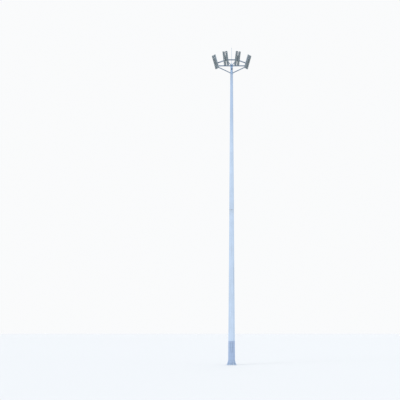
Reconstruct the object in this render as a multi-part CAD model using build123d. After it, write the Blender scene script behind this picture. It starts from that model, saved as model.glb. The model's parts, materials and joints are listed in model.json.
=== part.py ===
from build123d import *
import os
from math import atan2, cos, degrees, hypot, radians, sin, tan

# Street light, millimetres. Z is up, the origin is the centre of the base flange's
# underside, and the lamps and the service door face -Y.

# Pole: an octagonal taper in three lengths
BASE_FLATS = 322.0          # across flats at the ground
TAPER = 0.0134              # across flats lost for each mm of height
LOWER_WALL = 6.0
UPPER_WALL = 5.0
BASE_SECTION_TOP = 1100.0   # height of the coated base length
SPLICE_Z = 7400.0           # lower edge of the upper length, slipped over the lower one
SPLICE_OVERLAP = 450.0
SLIP_FIT = 0.3
POLE_TOP = 14480.0

# Base flange, its ribs and its anchor holes
FLANGE_SIDE = 480.0
FLANGE_THICKNESS = 22.0
FLANGE_CORNER = 30.0
CABLE_HOLE_R = 90.0
ANCHOR_SPACING = 380.0
ANCHOR_HOLE_R = 15.0
RIB_HEIGHT = 170.0
RIB_FOOT = 58.0
RIB_THICKNESS = 10.0
RIB_TOE = 14.0

# Service door, flush in the front facet of the base length
DOOR_CENTRE_Z = 830.0
DOOR_WIDTH = 86.0
DOOR_HEIGHT = 440.0
DOOR_CORNER = 14.0
DOOR_GAP = 6.0
FRAME_WALL = 6.0
FRAME_DEPTH = 36.0
HINGE_OFFSET = 150.0        # from the door's middle to each hinge
KNUCKLE_R = 7.0
KNUCKLE_LENGTH = 28.0
KNUCKLE_STANDOFF = 1.0
HINGE_PIN_R = 4.0
HINGE_LEAF = 13.0
HINGE_LIFT = 0.3            # gap between the two knuckles of a hinge
LOCK_R = 12.0
LOCK_BARREL_R = 6.0
LOCK_WELL_R = 8.0
LOCK_STUD_R = 4.0
LOCK_PROUD = 4.0
LOCK_DEPTH = 20.0
LOCK_BELOW_TOP = 36.0

# Head post, hub and rod above the pole
POST_R = 60.5
POST_WALL = 5.0
POST_INSERT = 400.0         # length of the post inside the pole
COLLAR_R = 80.0
COLLAR_THICKNESS = 18.0
COLLAR_CHAMFER = 3.0
HUB_R = 70.0
HUB_HEIGHT = 110.0
HUB_DOME = 25.0
HUB_WALL = 10.0
HUB_ROOF = 5.0
HUB_LAND = 2.5              # how far the dome's top is flattened for the rod's socket
ROD_R = 8.0
ROD_LENGTH = 950.0
ROD_POINT = 60.0            # length of the taper at the tip
ROD_TIP_R = 1.0
ROD_SOCKET_R = 20.0
ROD_SOCKET_HEIGHT = 60.0
OUTLET_ABOVE_POLE = 240.0
OUTLET_TURN = 15.0          # degrees round the post from the front to the right
OUTLET_R = 40.0
OUTLET_PROUD = 14.0
OUTLET_LIP = 6.0

# Half-octagon ring: a level frame in front of the hub, closed by a chord through it
RING_ABOVE_POLE = 440.0
RING_HALF_WIDTH = 742.0
RING_DEPTH = 745.0
FRONT_BAR_HALF = 262.0
SIDE_BAR_LENGTH = 345.0
RING_TUBE_R = 30.0
RING_TUBE_WALL = 3.5
ARM_TUBE_R = 21.0
ARM_TUBE_WALL = 3.0
STRUT_TUBE_R = 24.0
STRUT_TUBE_WALL = 3.0
STRUT_FOOT_ABOVE_POLE = 20.0    # where the struts' axes meet the post's axis
STRUT_DROP = 46.0           # strut's axis below the ring's axis at the chord's end
STRUT_PLUG = 14.0           # solid length at the strut's upper end

# Lamp: two finned strips side by side on a centre body, clamped to an ear on the ring
LAMP_TILT = 20.5            # degrees that the long axis leans out from vertical
SIDE_LAMP_TURN = 15.0       # degrees that a side lamp faces forward of its corner's bisector
STRIP_LENGTH = 700.0
STRIP_WIDTH = 105.0
STRIP_GAP = 40.0
SINK_BASE = 8.0
FIN_HEIGHT = 38.0
FIN_THICKNESS = 3.0
FIN_COUNT = 9
END_PLATE = 4.0
BOARD_THICKNESS = 6.0
BOARD_INSET = 3.0
MODULE_COUNT = 6
MODULE_LENGTH = 108.0
MODULE_WIDTH = 95.0
MODULE_THICKNESS = 8.0
PIVOT_REACH = 74.0          # from the ring tube's axis out to the tilt bolt
PIVOT_BELOW_CENTRE = 45.0
PIVOT_FROM_BACK = 15.0
BODY_LENGTH = 280.0
BODY_RECESS = 8.0
EAR_HALF_HEIGHT = 18.0
EAR_THICKNESS = 12.0
EAR_SIDE_GAP = 1.0
EAR_END_GAP = 5.0
STEEPEST_TILT = 45.0        # the slot for the ear leaves room down to this lean
BOLT_R = 8.0
RUNNING_FIT = 0.08
BOLT_HEAD_FLATS = 24.0
BOLT_HEAD_HEIGHT = 8.0
BOLT_POCKET_R = 15.5
BOLT_POCKET_SLACK = 1.0
DRIVER_WIDTH = 150.0
DRIVER_LENGTH = 150.0
DRIVER_DEPTH = 50.0
DRIVER_EDGE = 8.0
DRIVER_TUBE_GAP = 8.0

OCTAGON_SIDES = 8
FACET_TURN = 360.0 / OCTAGON_SIDES
CUT_OVER = 5.0              # how far a cutting solid runs past the faces it opens
UP = Vector(0, 0, 1)


def flats_at(z):
    """Across flats of the lower pole's outside at a height."""
    return BASE_FLATS - TAPER * z


def octagon_frustum(z0, z1, offset=0.0):
    """Octagonal taper between two heights, its facets moved out by the offset."""
    ends = []
    for z in (z0, z1):
        outline = RegularPolygon(
            flats_at(z) / 2 + offset, OCTAGON_SIDES, major_radius=False, rotation=FACET_TURN / 2
        )
        ends.append(Plane.XY.offset(z) * outline)
    return loft(ends)


def pole_length(z0, z1, outside, wall):
    """Hollow octagonal length whose outside is offset from the lower pole's."""
    bore = octagon_frustum(z0 - CUT_OVER, z1 + CUT_OVER, outside - wall)
    return octagon_frustum(z0, z1, outside) - bore


def upright(radius, z0, z1):
    """Vertical cylinder about the pole's axis."""
    return Pos(0, 0, z0) * Cylinder(radius, z1 - z0, align=(Align.CENTER, Align.CENTER, Align.MIN))


def rod_between(start, end, radius, past=0.0):
    """Round bar from one point to another, run past both of them."""
    way = end - start
    plane = Plane(origin=start - way.normalized() * past, z_dir=way)
    length = way.length + 2 * past
    return plane * Cylinder(radius, length, align=(Align.CENTER, Align.CENTER, Align.MIN))


def rounded_slab(width, height, corner, z0, z1):
    """Slab with rounded corners in a plane's own coordinates, between two depths."""
    return extrude(Pos(0, 0, z0) * RectangleRounded(width, height, corner), z1 - z0)


def block(x, y, z):
    """Box between pairs of coordinates."""
    return Pos(x[0], y[0], z[0]) * Box(
        x[1] - x[0], y[1] - y[0], z[1] - z[0], align=(Align.MIN, Align.MIN, Align.MIN)
    )


# Base flange and ribs
def base_flange():
    plate = extrude(RectangleRounded(FLANGE_SIDE, FLANGE_SIDE, FLANGE_CORNER), FLANGE_THICKNESS)
    plate -= upright(CABLE_HOLE_R, -CUT_OVER, FLANGE_THICKNESS + CUT_OVER)
    half = ANCHOR_SPACING / 2
    for x in (-half, half):
        for y in (-half, half):
            plate -= Pos(x, y, 0) * upright(ANCHOR_HOLE_R, -CUT_OVER, FLANGE_THICKNESS + CUT_OVER)
    return plate


def base_ribs():
    """Triangular ribs that stand on the flange against the pole's eight edges."""
    corner_r = flats_at(FLANGE_THICKNESS) / 2 / cos(radians(FACET_TURN / 2))
    foot = corner_r + RIB_FOOT
    inside = corner_r / 2    # well inside the pole, which trims the rib
    top = FLANGE_THICKNESS + RIB_HEIGHT
    points = [
        (inside, FLANGE_THICKNESS),
        (foot, FLANGE_THICKNESS),
        (foot, FLANGE_THICKNESS + RIB_TOE),
        (corner_r, top),
        (inside, top),
    ]
    outline = Plane.XZ * make_face(Polyline(*points, close=True))
    rib = extrude(outline, RIB_THICKNESS / 2, both=True)
    pole = octagon_frustum(FLANGE_THICKNESS - CUT_OVER, top + CUT_OVER)
    ribs = []
    for index in range(OCTAGON_SIDES):
        turned = Rot(0, 0, FACET_TURN / 2 + index * FACET_TURN) * rib
        ribs.append(turned - pole)
    return ribs


# Service door, its frame, hinges and lock, in the plane of the front facet
DOOR_PLANE = Plane(
    origin=(0, -flats_at(DOOR_CENTRE_Z) / 2, DOOR_CENTRE_Z),
    x_dir=(1, 0, 0),
    z_dir=(0, -1, TAPER / 2),
)
OPENING_WIDTH = DOOR_WIDTH + 2 * DOOR_GAP
OPENING_HEIGHT = DOOR_HEIGHT + 2 * DOOR_GAP
OPENING_CORNER = DOOR_CORNER + DOOR_GAP
HINGE_X = -(DOOR_WIDTH / 2 + DOOR_GAP / 2)
HINGE_AXIS_OUT = KNUCKLE_R + KNUCKLE_STANDOFF


def base_section():
    shell = pole_length(FLANGE_THICKNESS, BASE_SECTION_TOP, 0, LOWER_WALL)
    hole = rounded_slab(
        OPENING_WIDTH, OPENING_HEIGHT, OPENING_CORNER, -LOWER_WALL - CUT_OVER, CUT_OVER
    )
    return shell - DOOR_PLANE * hole


def door_frame():
    """Stiffening ring welded behind the wall round the opening."""
    back = -LOWER_WALL - FRAME_DEPTH
    outer = rounded_slab(
        OPENING_WIDTH + 2 * FRAME_WALL,
        OPENING_HEIGHT + 2 * FRAME_WALL,
        OPENING_CORNER + FRAME_WALL,
        back,
        0,
    )
    inner = rounded_slab(
        OPENING_WIDTH, OPENING_HEIGHT, OPENING_CORNER, back - CUT_OVER, CUT_OVER
    )
    inside = octagon_frustum(FLANGE_THICKNESS, BASE_SECTION_TOP, -LOWER_WALL)
    return DOOR_PLANE * (outer - inner) & inside


def knuckle(y0, y1, radius):
    """Round barrel about the hinge line, between two heights on the facet."""
    start = Vector(HINGE_X, y0, HINGE_AXIS_OUT)
    end = Vector(HINGE_X, y1, HINGE_AXIS_OUT)
    return rod_between(start, end, radius)


def hinge_posts():
    """Fixed halves of the hinges, each with the pin that the door turns on."""
    posts = []
    for centre in (-HINGE_OFFSET, HINGE_OFFSET):
        low = centre - KNUCKLE_LENGTH
        leaf = block((HINGE_X - HINGE_LEAF, HINGE_X), (low, centre), (0, HINGE_AXIS_OUT))
        barrel = knuckle(low, centre, KNUCKLE_R)
        pin = knuckle(centre - CUT_OVER, centre + KNUCKLE_LENGTH - HINGE_PIN_R, HINGE_PIN_R)
        posts.append(DOOR_PLANE * (leaf + barrel + pin))
    return posts


def service_door():
    """Door panel with the moving halves of its hinges."""
    door = rounded_slab(DOOR_WIDTH, DOOR_HEIGHT, DOOR_CORNER, -LOWER_WALL, 0)
    for centre in (-HINGE_OFFSET, HINGE_OFFSET):
        low = centre + HINGE_LIFT
        high = centre + KNUCKLE_LENGTH
        leaf = block((HINGE_X, HINGE_X + HINGE_LEAF), (low, high), (0, HINGE_AXIS_OUT))
        bore = knuckle(low - CUT_OVER, high + CUT_OVER, HINGE_PIN_R + RUNNING_FIT)
        door += leaf + knuckle(low, high, KNUCKLE_R) - bore
    door -= lock_place() * lock_barrel(RUNNING_FIT)
    return DOOR_PLANE * door


def lock_place():
    return Pos(0, DOOR_HEIGHT / 2 - LOCK_BELOW_TOP, 0)


def lock_barrel(gap):
    """Lock barrel through the panel, grown by a gap for its hole."""
    depth = LOWER_WALL + LOCK_DEPTH
    return Pos(0, 0, -depth) * Cylinder(
        LOCK_BARREL_R + gap, depth, align=(Align.CENTER, Align.CENTER, Align.MIN)
    )


def door_lock():
    """Lock with a round head on the panel and a three-sided key stud in its middle."""
    head = Cylinder(LOCK_R, LOCK_PROUD, align=(Align.CENTER, Align.CENTER, Align.MIN))
    well = Pos(0, 0, LOCK_PROUD / 2) * Cylinder(
        LOCK_WELL_R, LOCK_PROUD, align=(Align.CENTER, Align.CENTER, Align.MIN)
    )
    stud = extrude(RegularPolygon(LOCK_STUD_R, 3), LOCK_PROUD)
    return DOOR_PLANE * lock_place() * (head - well + stud + lock_barrel(0))


# Pole above the base length
def lower_pole():
    return pole_length(BASE_SECTION_TOP, SPLICE_Z + SPLICE_OVERLAP, 0, LOWER_WALL)


def upper_pole():
    return pole_length(SPLICE_Z, POLE_TOP, SLIP_FIT + UPPER_WALL, UPPER_WALL)


# Head post, hub and rod
def pole_collar():
    """Ring on the pole's top edge that centres the head post."""
    collar = upright(COLLAR_R, POLE_TOP, POLE_TOP + COLLAR_THICKNESS)
    collar -= upright(POST_R + SLIP_FIT, POLE_TOP - CUT_OVER, POLE_TOP + 2 * COLLAR_THICKNESS)
    return chamfer(collar.edges().filter_by(GeomType.CIRCLE).group_by(Axis.Z)[-1], COLLAR_CHAMFER)


RING_Z = POLE_TOP + RING_ABOVE_POLE
OUTLET_Z = POLE_TOP + OUTLET_ABOVE_POLE
STRUT_FOOT_Z = POLE_TOP + STRUT_FOOT_ABOVE_POLE
HUB_BOTTOM = RING_Z - HUB_HEIGHT / 2
HUB_TOP = RING_Z + HUB_HEIGHT / 2
ROD_SEAT = HUB_TOP + HUB_DOME - HUB_LAND


def head_post():
    post = upright(POST_R, POLE_TOP - POST_INSERT, HUB_BOTTOM)
    return post - upright(POST_R - POST_WALL, POLE_TOP - POST_INSERT - CUT_OVER, HUB_BOTTOM + CUT_OVER)


def hub():
    """Drum that the chord and arms are welded to, with a low domed top."""
    drum = upright(HUB_R, HUB_BOTTOM, HUB_TOP)
    sphere_r = (HUB_R**2 + HUB_DOME**2) / (2 * HUB_DOME)
    dome = Pos(0, 0, HUB_TOP + HUB_DOME - sphere_r) * Sphere(sphere_r)
    dome &= upright(HUB_R, HUB_TOP, ROD_SEAT)
    cavity = upright(HUB_R - HUB_WALL, HUB_BOTTOM + HUB_WALL, HUB_TOP - HUB_ROOF)
    neck = upright(POST_R - POST_WALL, HUB_BOTTOM - CUT_OVER, HUB_BOTTOM + HUB_WALL + CUT_OVER)
    return drum + dome - cavity - neck


def lightning_rod():
    socket = upright(ROD_SOCKET_R, ROD_SEAT, ROD_SEAT + ROD_SOCKET_HEIGHT)
    tip = ROD_SEAT + ROD_LENGTH
    shaft = upright(ROD_R, ROD_SEAT + ROD_SOCKET_HEIGHT / 2, tip - ROD_POINT)
    point = Pos(0, 0, tip - ROD_POINT) * Cone(
        ROD_R, ROD_TIP_R, ROD_POINT, align=(Align.CENTER, Align.CENTER, Align.MIN)
    )
    return socket + shaft + point


def cable_outlet():
    """Bushing on the post where the lamp cables would leave it."""
    face = -(POST_R + OUTLET_PROUD)
    boss = rod_between(Vector(0, face, OUTLET_Z), Vector(0, 0, OUTLET_Z), OUTLET_R)
    well = rod_between(
        Vector(0, face - CUT_OVER, OUTLET_Z), Vector(0, -POST_R, OUTLET_Z), OUTLET_R - OUTLET_LIP
    )
    bushing = boss - well - upright(POST_R, OUTLET_Z - 2 * OUTLET_R, OUTLET_Z + 2 * OUTLET_R)
    return Rot(0, 0, OUTLET_TURN) * bushing


# Ring: corners in order from the left chord end round the front to the right one
RING_CORNERS = [
    Vector(-RING_HALF_WIDTH, 0, RING_Z),
    Vector(-RING_HALF_WIDTH, -SIDE_BAR_LENGTH, RING_Z),
    Vector(-FRONT_BAR_HALF, -RING_DEPTH, RING_Z),
    Vector(FRONT_BAR_HALF, -RING_DEPTH, RING_Z),
    Vector(RING_HALF_WIDTH, -SIDE_BAR_LENGTH, RING_Z),
    Vector(RING_HALF_WIDTH, 0, RING_Z),
]
CORNER_COUNT = len(RING_CORNERS)
# Each bar has the number of the corner that it leaves
LEFT_SIDE, LEFT_DIAGONAL, FRONT_BAR, RIGHT_DIAGONAL, RIGHT_SIDE, CHORD = range(CORNER_COUNT)
TUBE_PAST = 3 * RING_TUBE_R


def ring_way(index):
    """Unit vector along the bar that leaves a corner."""
    start = RING_CORNERS[index % CORNER_COUNT]
    end = RING_CORNERS[(index + 1) % CORNER_COUNT]
    return (end - start).normalized()


def mitre_plane(index):
    """Plane that halves the turn at a corner, facing along the ring."""
    way = ring_way(index - 1) + ring_way(index)
    return Plane(origin=RING_CORNERS[index % CORNER_COUNT], z_dir=way)


def ring_bar(index, bored=True):
    """Tube from one corner to the next, mitred at both."""
    start = RING_CORNERS[index % CORNER_COUNT]
    end = RING_CORNERS[(index + 1) % CORNER_COUNT]
    bar = rod_between(start, end, RING_TUBE_R, TUBE_PAST)
    if bored:
        bar -= rod_between(start, end, RING_TUBE_R - RING_TUBE_WALL, TUBE_PAST + CUT_OVER)
    bar = split(bar, bisect_by=mitre_plane(index), keep=Keep.TOP)
    return split(bar, bisect_by=mitre_plane(index + 1), keep=Keep.BOTTOM)


def chord_bars():
    chord = ring_bar(CHORD) - upright(HUB_R, HUB_BOTTOM, HUB_TOP)
    return list(chord.solids())


def radial_arms():
    """Tubes from the hub to the two front corners."""
    arms = []
    hub_solid = upright(HUB_R, HUB_BOTTOM, HUB_TOP)
    for index in (FRONT_BAR, RIGHT_DIAGONAL):
        corner = RING_CORNERS[index]
        centre = Vector(0, 0, RING_Z)
        arm = rod_between(centre, corner, ARM_TUBE_R)
        arm -= rod_between(centre, corner, ARM_TUBE_R - ARM_TUBE_WALL, CUT_OVER)
        arm = arm - hub_solid - ring_bar(index - 1, False) - ring_bar(index, False)
        arms.append(arm)
    return arms


def struts():
    """Tubes from the foot of the head post up to the underside of the chord's ends."""
    made = []
    post = upright(POST_R, POLE_TOP, HUB_BOTTOM)
    for corner_index, side_bar in ((LEFT_SIDE, LEFT_SIDE), (CHORD, RIGHT_SIDE)):
        corner = RING_CORNERS[corner_index]
        foot = Vector(0, 0, STRUT_FOOT_Z)
        head = corner - UP * STRUT_DROP
        back = (foot - head).normalized()
        strut = rod_between(foot, head, STRUT_TUBE_R)
        strut -= rod_between(foot, head + back * STRUT_PLUG, STRUT_TUBE_R - STRUT_TUBE_WALL)
        strut = strut - post - ring_bar(CHORD, False) - ring_bar(side_bar, False)
        made.append(strut.solids().sort_by(SortBy.VOLUME)[-1])
    return made


# Lamps: one stands on each of the four corners between the chord's ends. Each row is the
# corner and the lamp's turn about the vertical from the corner's bisector
LAMPS = [
    (LEFT_DIAGONAL, SIDE_LAMP_TURN),
    (FRONT_BAR, 0.0),
    (RIGHT_DIAGONAL, 0.0),
    (RIGHT_SIDE, -SIDE_LAMP_TURN),
]
LAMP_HALF = STRIP_LENGTH / 2
LAMP_LOW = PIVOT_BELOW_CENTRE - LAMP_HALF
LAMP_HIGH = PIVOT_BELOW_CENTRE + LAMP_HALF
BACK_Z = -PIVOT_FROM_BACK
SINK_FACE_Z = BACK_Z + FIN_HEIGHT + SINK_BASE
FACE_Z = SINK_FACE_Z + BOARD_THICKNESS + MODULE_THICKNESS
STRIP_CENTRE = (STRIP_GAP + STRIP_WIDTH) / 2


def lamp_out(index, turn):
    """Level heading of the lamp at a corner, turned from the corner's bisector."""
    out = ring_way(index - 1) - ring_way(index)
    return out.normalized().rotate(Axis.Z, turn)


def lamp_plane(index, turn, tilt=LAMP_TILT):
    """The lamp's own frame at its tilt bolt: x across, y up its length, z out of its face."""
    out = lamp_out(index, turn)
    across = UP.cross(out)
    face = out * cos(radians(tilt)) - UP * sin(radians(tilt))
    return Plane(origin=RING_CORNERS[index] + out * PIVOT_REACH, x_dir=across, z_dir=face)


def lamp_ear(index, turn):
    """Ear welded to the ring's corner, drilled for the tilt bolt."""
    plane = lamp_plane(index, turn, 0)
    half = EAR_THICKNESS / 2
    ear = block((-half, half), (-EAR_HALF_HEIGHT, EAR_HALF_HEIGHT), (-PIVOT_REACH, 0))
    ear += rod_between(Vector(-half, 0, 0), Vector(half, 0, 0), EAR_HALF_HEIGHT)
    ear -= rod_between(Vector(-half, 0, 0), Vector(half, 0, 0), BOLT_R + RUNNING_FIT, CUT_OVER)
    return plane * ear - ring_bar(index - 1, False) - ring_bar(index, False)


def heat_sinks():
    """Two finned strips, each closed by a plate at both ends."""
    sinks = []
    pitch = (STRIP_WIDTH - FIN_THICKNESS) / (FIN_COUNT - 1)
    for side in (-1, 1):
        edge = side * STRIP_CENTRE - STRIP_WIDTH / 2
        across = (edge, edge + STRIP_WIDTH)
        sink = block(across, (LAMP_LOW, LAMP_HIGH), (BACK_Z + FIN_HEIGHT, SINK_FACE_Z))
        for fin in range(FIN_COUNT):
            x = edge + fin * pitch
            sink += block((x, x + FIN_THICKNESS), (LAMP_LOW, LAMP_HIGH), (BACK_Z, BACK_Z + FIN_HEIGHT))
        for y in (LAMP_LOW, LAMP_HIGH - END_PLATE):
            sink += block(across, (y, y + END_PLATE), (BACK_Z, SINK_FACE_Z))
        sinks.append(sink)
    return sinks


def light_modules():
    """The lit face of each strip: a long board with a row of lens covers."""
    boards = []
    pitch = (STRIP_LENGTH - 2 * BOARD_INSET) / MODULE_COUNT
    for side in (-1, 1):
        x = side * STRIP_CENTRE
        half = STRIP_WIDTH / 2 - BOARD_INSET
        board = block(
            (x - half, x + half),
            (LAMP_LOW + BOARD_INSET, LAMP_HIGH - BOARD_INSET),
            (SINK_FACE_Z, SINK_FACE_Z + BOARD_THICKNESS),
        )
        for index in range(MODULE_COUNT):
            y = LAMP_LOW + BOARD_INSET + (index + 0.5) * pitch
            board += block(
                (x - MODULE_WIDTH / 2, x + MODULE_WIDTH / 2),
                (y - MODULE_LENGTH / 2, y + MODULE_LENGTH / 2),
                (SINK_FACE_Z + BOARD_THICKNESS, FACE_Z),
            )
        boards.append(board)
    return boards


def centre_body():
    """Block between the strips, slotted for the ear and drilled for the tilt bolt."""
    half = STRIP_GAP / 2
    low = PIVOT_BELOW_CENTRE - BODY_LENGTH / 2
    body = block((-half, half), (low, low + BODY_LENGTH), (BACK_Z, FACE_Z - BODY_RECESS))
    slot = EAR_THICKNESS / 2 + EAR_SIDE_GAP
    above = EAR_HALF_HEIGHT + EAR_END_GAP
    lean = radians(STEEPEST_TILT)
    below = PIVOT_FROM_BACK * tan(lean) + EAR_HALF_HEIGHT / cos(lean) + EAR_END_GAP
    body -= block((-slot, slot), (-below, above), (BACK_Z - CUT_OVER, above))
    body -= rod_between(Vector(-half, 0, 0), Vector(half, 0, 0), BOLT_R + RUNNING_FIT, CUT_OVER)
    for side in (-1, 1):
        floor = side * (half - BOLT_HEAD_HEIGHT - BOLT_POCKET_SLACK)
        mouth = side * (half + CUT_OVER)
        body -= rod_between(Vector(floor, 0, 0), Vector(mouth, 0, 0), BOLT_POCKET_R)
    return body


def tilt_bolt():
    """Bolt and nut of the tilt clamp."""
    seat = STRIP_GAP / 2 - BOLT_HEAD_HEIGHT - BOLT_POCKET_SLACK
    bolt = rod_between(Vector(-seat, 0, 0), Vector(seat, 0, 0), BOLT_R, BOLT_HEAD_HEIGHT / 2)
    hexagon = RegularPolygon(BOLT_HEAD_FLATS / 2, 6, major_radius=False)
    for side in (-1, 1):
        start = min(side * seat, side * (seat + BOLT_HEAD_HEIGHT))
        bolt += Plane(origin=(start, 0, 0), z_dir=(1, 0, 0)) * extrude(hexagon, BOLT_HEAD_HEIGHT)
    return bolt


def driver_box():
    """Closed housing of the supply on the strips' backs, above the ring."""
    low = RING_TUBE_R + DRIVER_TUBE_GAP
    half = DRIVER_WIDTH / 2
    box = block((-half, half), (low, low + DRIVER_LENGTH), (BACK_Z - DRIVER_DEPTH, BACK_Z))
    back = box.faces().sort_by(Axis.Z)[0]
    return fillet(back.edges(), DRIVER_EDGE)


def write(name, solids):
    """Write one sub-part, which may hold several like solids."""
    shape = Compound(children=list(solids)) if isinstance(solids, list) else solids
    export_step(shape, f"parts/{name}.step")


def main():
    os.makedirs("parts", exist_ok=True)
    write("base_flange", base_flange())
    write("base_ribs", base_ribs())
    write("base_section", base_section())
    write("door_frame", door_frame())
    write("door_hinge_posts", hinge_posts())
    write("service_door", service_door())
    write("door_lock", door_lock())
    write("lower_pole", lower_pole())
    write("upper_pole", upper_pole())
    write("pole_collar", pole_collar())
    write("head_post", head_post())
    write("hub", hub())
    write("lightning_rod", lightning_rod())
    write("cable_outlet", cable_outlet())
    write("ring_sides", [ring_bar(LEFT_SIDE), ring_bar(RIGHT_SIDE)])
    write("ring_diagonals", [ring_bar(LEFT_DIAGONAL), ring_bar(RIGHT_DIAGONAL)])
    write("ring_front", ring_bar(FRONT_BAR))
    write("ring_chord", chord_bars())
    write("radial_arms", radial_arms())
    write("head_struts", struts())
    lamp_parts = {
        "heat_sinks": heat_sinks(),
        "light_modules": light_modules(),
        "centre_body": [centre_body()],
        "driver_box": [driver_box()],
        "tilt_bolt": [tilt_bolt()],
    }
    for number, (index, turn) in enumerate(LAMPS, start=1):
        write(f"lamp_{number}_ear", lamp_ear(index, turn))
        for part, solids in lamp_parts.items():
            placed = [lamp_plane(index, turn) * solid for solid in solids]
            write(f"lamp_{number}_{part}", placed if len(placed) > 1 else placed[0])
    report()


def report():
    """Print the places that the record needs."""
    hinge = DOOR_PLANE.from_local_coords(Vector(HINGE_X, 0, HINGE_AXIS_OUT))
    print("door hinge", hinge, "axis", DOOR_PLANE.y_dir)
    for number, (index, turn) in enumerate(LAMPS, start=1):
        place = lamp_plane(index, turn)
        out = lamp_out(index, turn)
        heading = degrees(atan2(out.X, -out.Y))
        reach = hypot(place.origin.X, place.origin.Y)
        print("lamp", number, "pivot", place.origin, "axis", place.x_dir, heading, reach)


main()
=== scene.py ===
"""Blender scene of a tall octagonal street light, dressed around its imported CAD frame.

Lengths are in metres. Z is up, the origin is on the ground at the foot's middle, and the
lamps and the service door face -Y.
"""

import json
import logging
import random
from collections.abc import Callable, Sequence
from dataclasses import dataclass, field
from enum import Enum
from functools import cache, wraps
from math import cos, inf, pi, radians, sin, sqrt, tan

import bmesh
import bpy
from mathutils import Matrix, Vector


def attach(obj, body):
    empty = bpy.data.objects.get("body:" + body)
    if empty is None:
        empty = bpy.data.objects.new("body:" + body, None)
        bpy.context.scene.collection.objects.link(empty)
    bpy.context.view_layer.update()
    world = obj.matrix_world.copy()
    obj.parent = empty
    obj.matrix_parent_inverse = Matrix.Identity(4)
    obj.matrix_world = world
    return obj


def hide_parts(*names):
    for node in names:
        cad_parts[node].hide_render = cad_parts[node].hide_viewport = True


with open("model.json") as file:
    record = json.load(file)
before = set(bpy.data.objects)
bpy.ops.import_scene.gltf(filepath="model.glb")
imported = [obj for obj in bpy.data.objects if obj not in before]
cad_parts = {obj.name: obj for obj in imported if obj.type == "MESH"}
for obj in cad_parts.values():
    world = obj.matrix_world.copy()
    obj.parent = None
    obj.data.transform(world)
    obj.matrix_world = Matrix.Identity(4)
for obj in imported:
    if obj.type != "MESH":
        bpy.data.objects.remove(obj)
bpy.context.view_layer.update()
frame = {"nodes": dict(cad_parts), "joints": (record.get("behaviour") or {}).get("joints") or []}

log = logging.getLogger("street_light")

Point = tuple[float, float]
Outline = Sequence[Point]
Colour = tuple[float, float, float]
Path = list[Vector]
Ring = list[bmesh.types.BMVert]
Mesh = bpy.types.Mesh
Socket = bpy.types.NodeSocket
Number = float | Socket
Surface = tuple[Socket, Socket, Socket, float]

IDENTITY = Matrix.Identity(4)
UP = Vector((0, 0, 1))
ACROSS = Vector((1, 0, 0))
LENGTHWAYS = Vector((0, 1, 0))
FORWARD = Vector((0, -1, 0))

SEED = 7  # for everything random
TUBE_SIDES = 56  # faces round a tube
SHARP_FROM = 32.0  # angle in degrees past which an edge stays sharp, unless a piece needs another


class Body(Enum):
    """The frame's bodies."""

    MAST = "mast"
    DOOR = "door"
    LAMP_1 = "lamp_1"
    LAMP_2 = "lamp_2"
    LAMP_3 = "lamp_3"
    LAMP_4 = "lamp_4"


class Coordinates(Enum):
    """Where a finish reads its pattern's place from: the object, or what the mesh was drafted in."""

    OBJECT = "object"
    LOCAL = "local"


# Outlines and placing


def basis(origin: Vector, x_dir: Vector, z_dir: Vector) -> Matrix:
    """Matrix of a local frame.

    Args:
        origin: where the local frame's origin stands.
        x_dir: direction of its x.
        z_dir: direction of its z, square to x.

    Returns:
        The matrix that takes local coordinates to the object's.
    """
    z_axis = z_dir.normalized()
    y_axis = z_axis.cross(x_dir).normalized()
    turned = Matrix((y_axis.cross(z_axis), y_axis, z_axis)).transposed()
    return Matrix.Translation(origin) @ turned.to_4x4()


def along(origin: Vector, way: Vector) -> Matrix:
    """Matrix of a local frame that has its origin at a point and its z along a way."""
    return basis(origin, way.orthogonal(), way)


def circle(radius: float, count: int) -> list[Point]:
    """That many points of a circle, anticlockwise."""
    return [(radius * cos(2 * pi * i / count), radius * sin(2 * pi * i / count)) for i in range(count)]


def rounded_rectangle(width: float, height: float, corner: float, steps: int = 5) -> list[Point]:
    """Outline of a rectangle with rounded corners.

    Args:
        width: size along x.
        height: size along y.
        corner: radius of the corners.
        steps: straight runs in each corner.

    Returns:
        The points, anticlockwise.
    """
    points = []
    for quarter, (side_x, side_y) in enumerate(((1, 1), (-1, 1), (-1, -1), (1, -1))):
        centre_x = side_x * (width / 2 - corner)
        centre_y = side_y * (height / 2 - corner)
        for step in range(steps + 1):
            angle = (quarter + step / steps) * pi / 2
            points.append((centre_x + corner * cos(angle), centre_y + corner * sin(angle)))
    return points


def shifted(outline: Outline, x: float, y: float) -> list[Point]:
    """The outline moved by x and y."""
    return [(point_x + x, point_y + y) for point_x, point_y in outline]


@dataclass(frozen=True)
class FlatCut:
    """A plane that a tube is cut off at."""

    point: Vector  # a point of the plane
    normal: Vector  # its direction

    def reach(self, start: Vector, way: Vector) -> float:
        """How far along the way the plane is met from the start."""
        return (self.point - start).dot(self.normal) / way.dot(self.normal)


@dataclass(frozen=True)
class RoundCut:
    """The outside of a round piece that a tube is notched to fit."""

    point: Vector  # a point of the round piece's axis
    axis: Vector  # unit direction of that axis
    radius: float  # the round piece's radius

    def reach(self, start: Vector, way: Vector) -> float:
        """Distance along a way to the round piece.

        Args:
            start: where the way starts, outside the round piece.
            way: unit direction.

        Returns:
            The distance to the first touch, or infinity where the way misses.
        """
        offset = start - self.point
        flat_way = way - self.axis * way.dot(self.axis)
        flat_offset = offset - self.axis * offset.dot(self.axis)
        square = flat_way.length_squared
        half = flat_offset.dot(flat_way)
        room = half * half - square * (flat_offset.length_squared - self.radius**2)
        if square < 1e-12 or room < 0:
            return inf
        return (-half - sqrt(room)) / square


Cut = FlatCut | RoundCut


def touch(start: Vector, way: Vector, cuts: Sequence[Cut], pick: Callable[..., float] = min) -> Vector:
    """The point where a way from the start first meets a cut or, with max as pick, has met them all."""
    return start + way * pick(cut.reach(start, way) for cut in cuts)


# Mesh drafting


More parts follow.
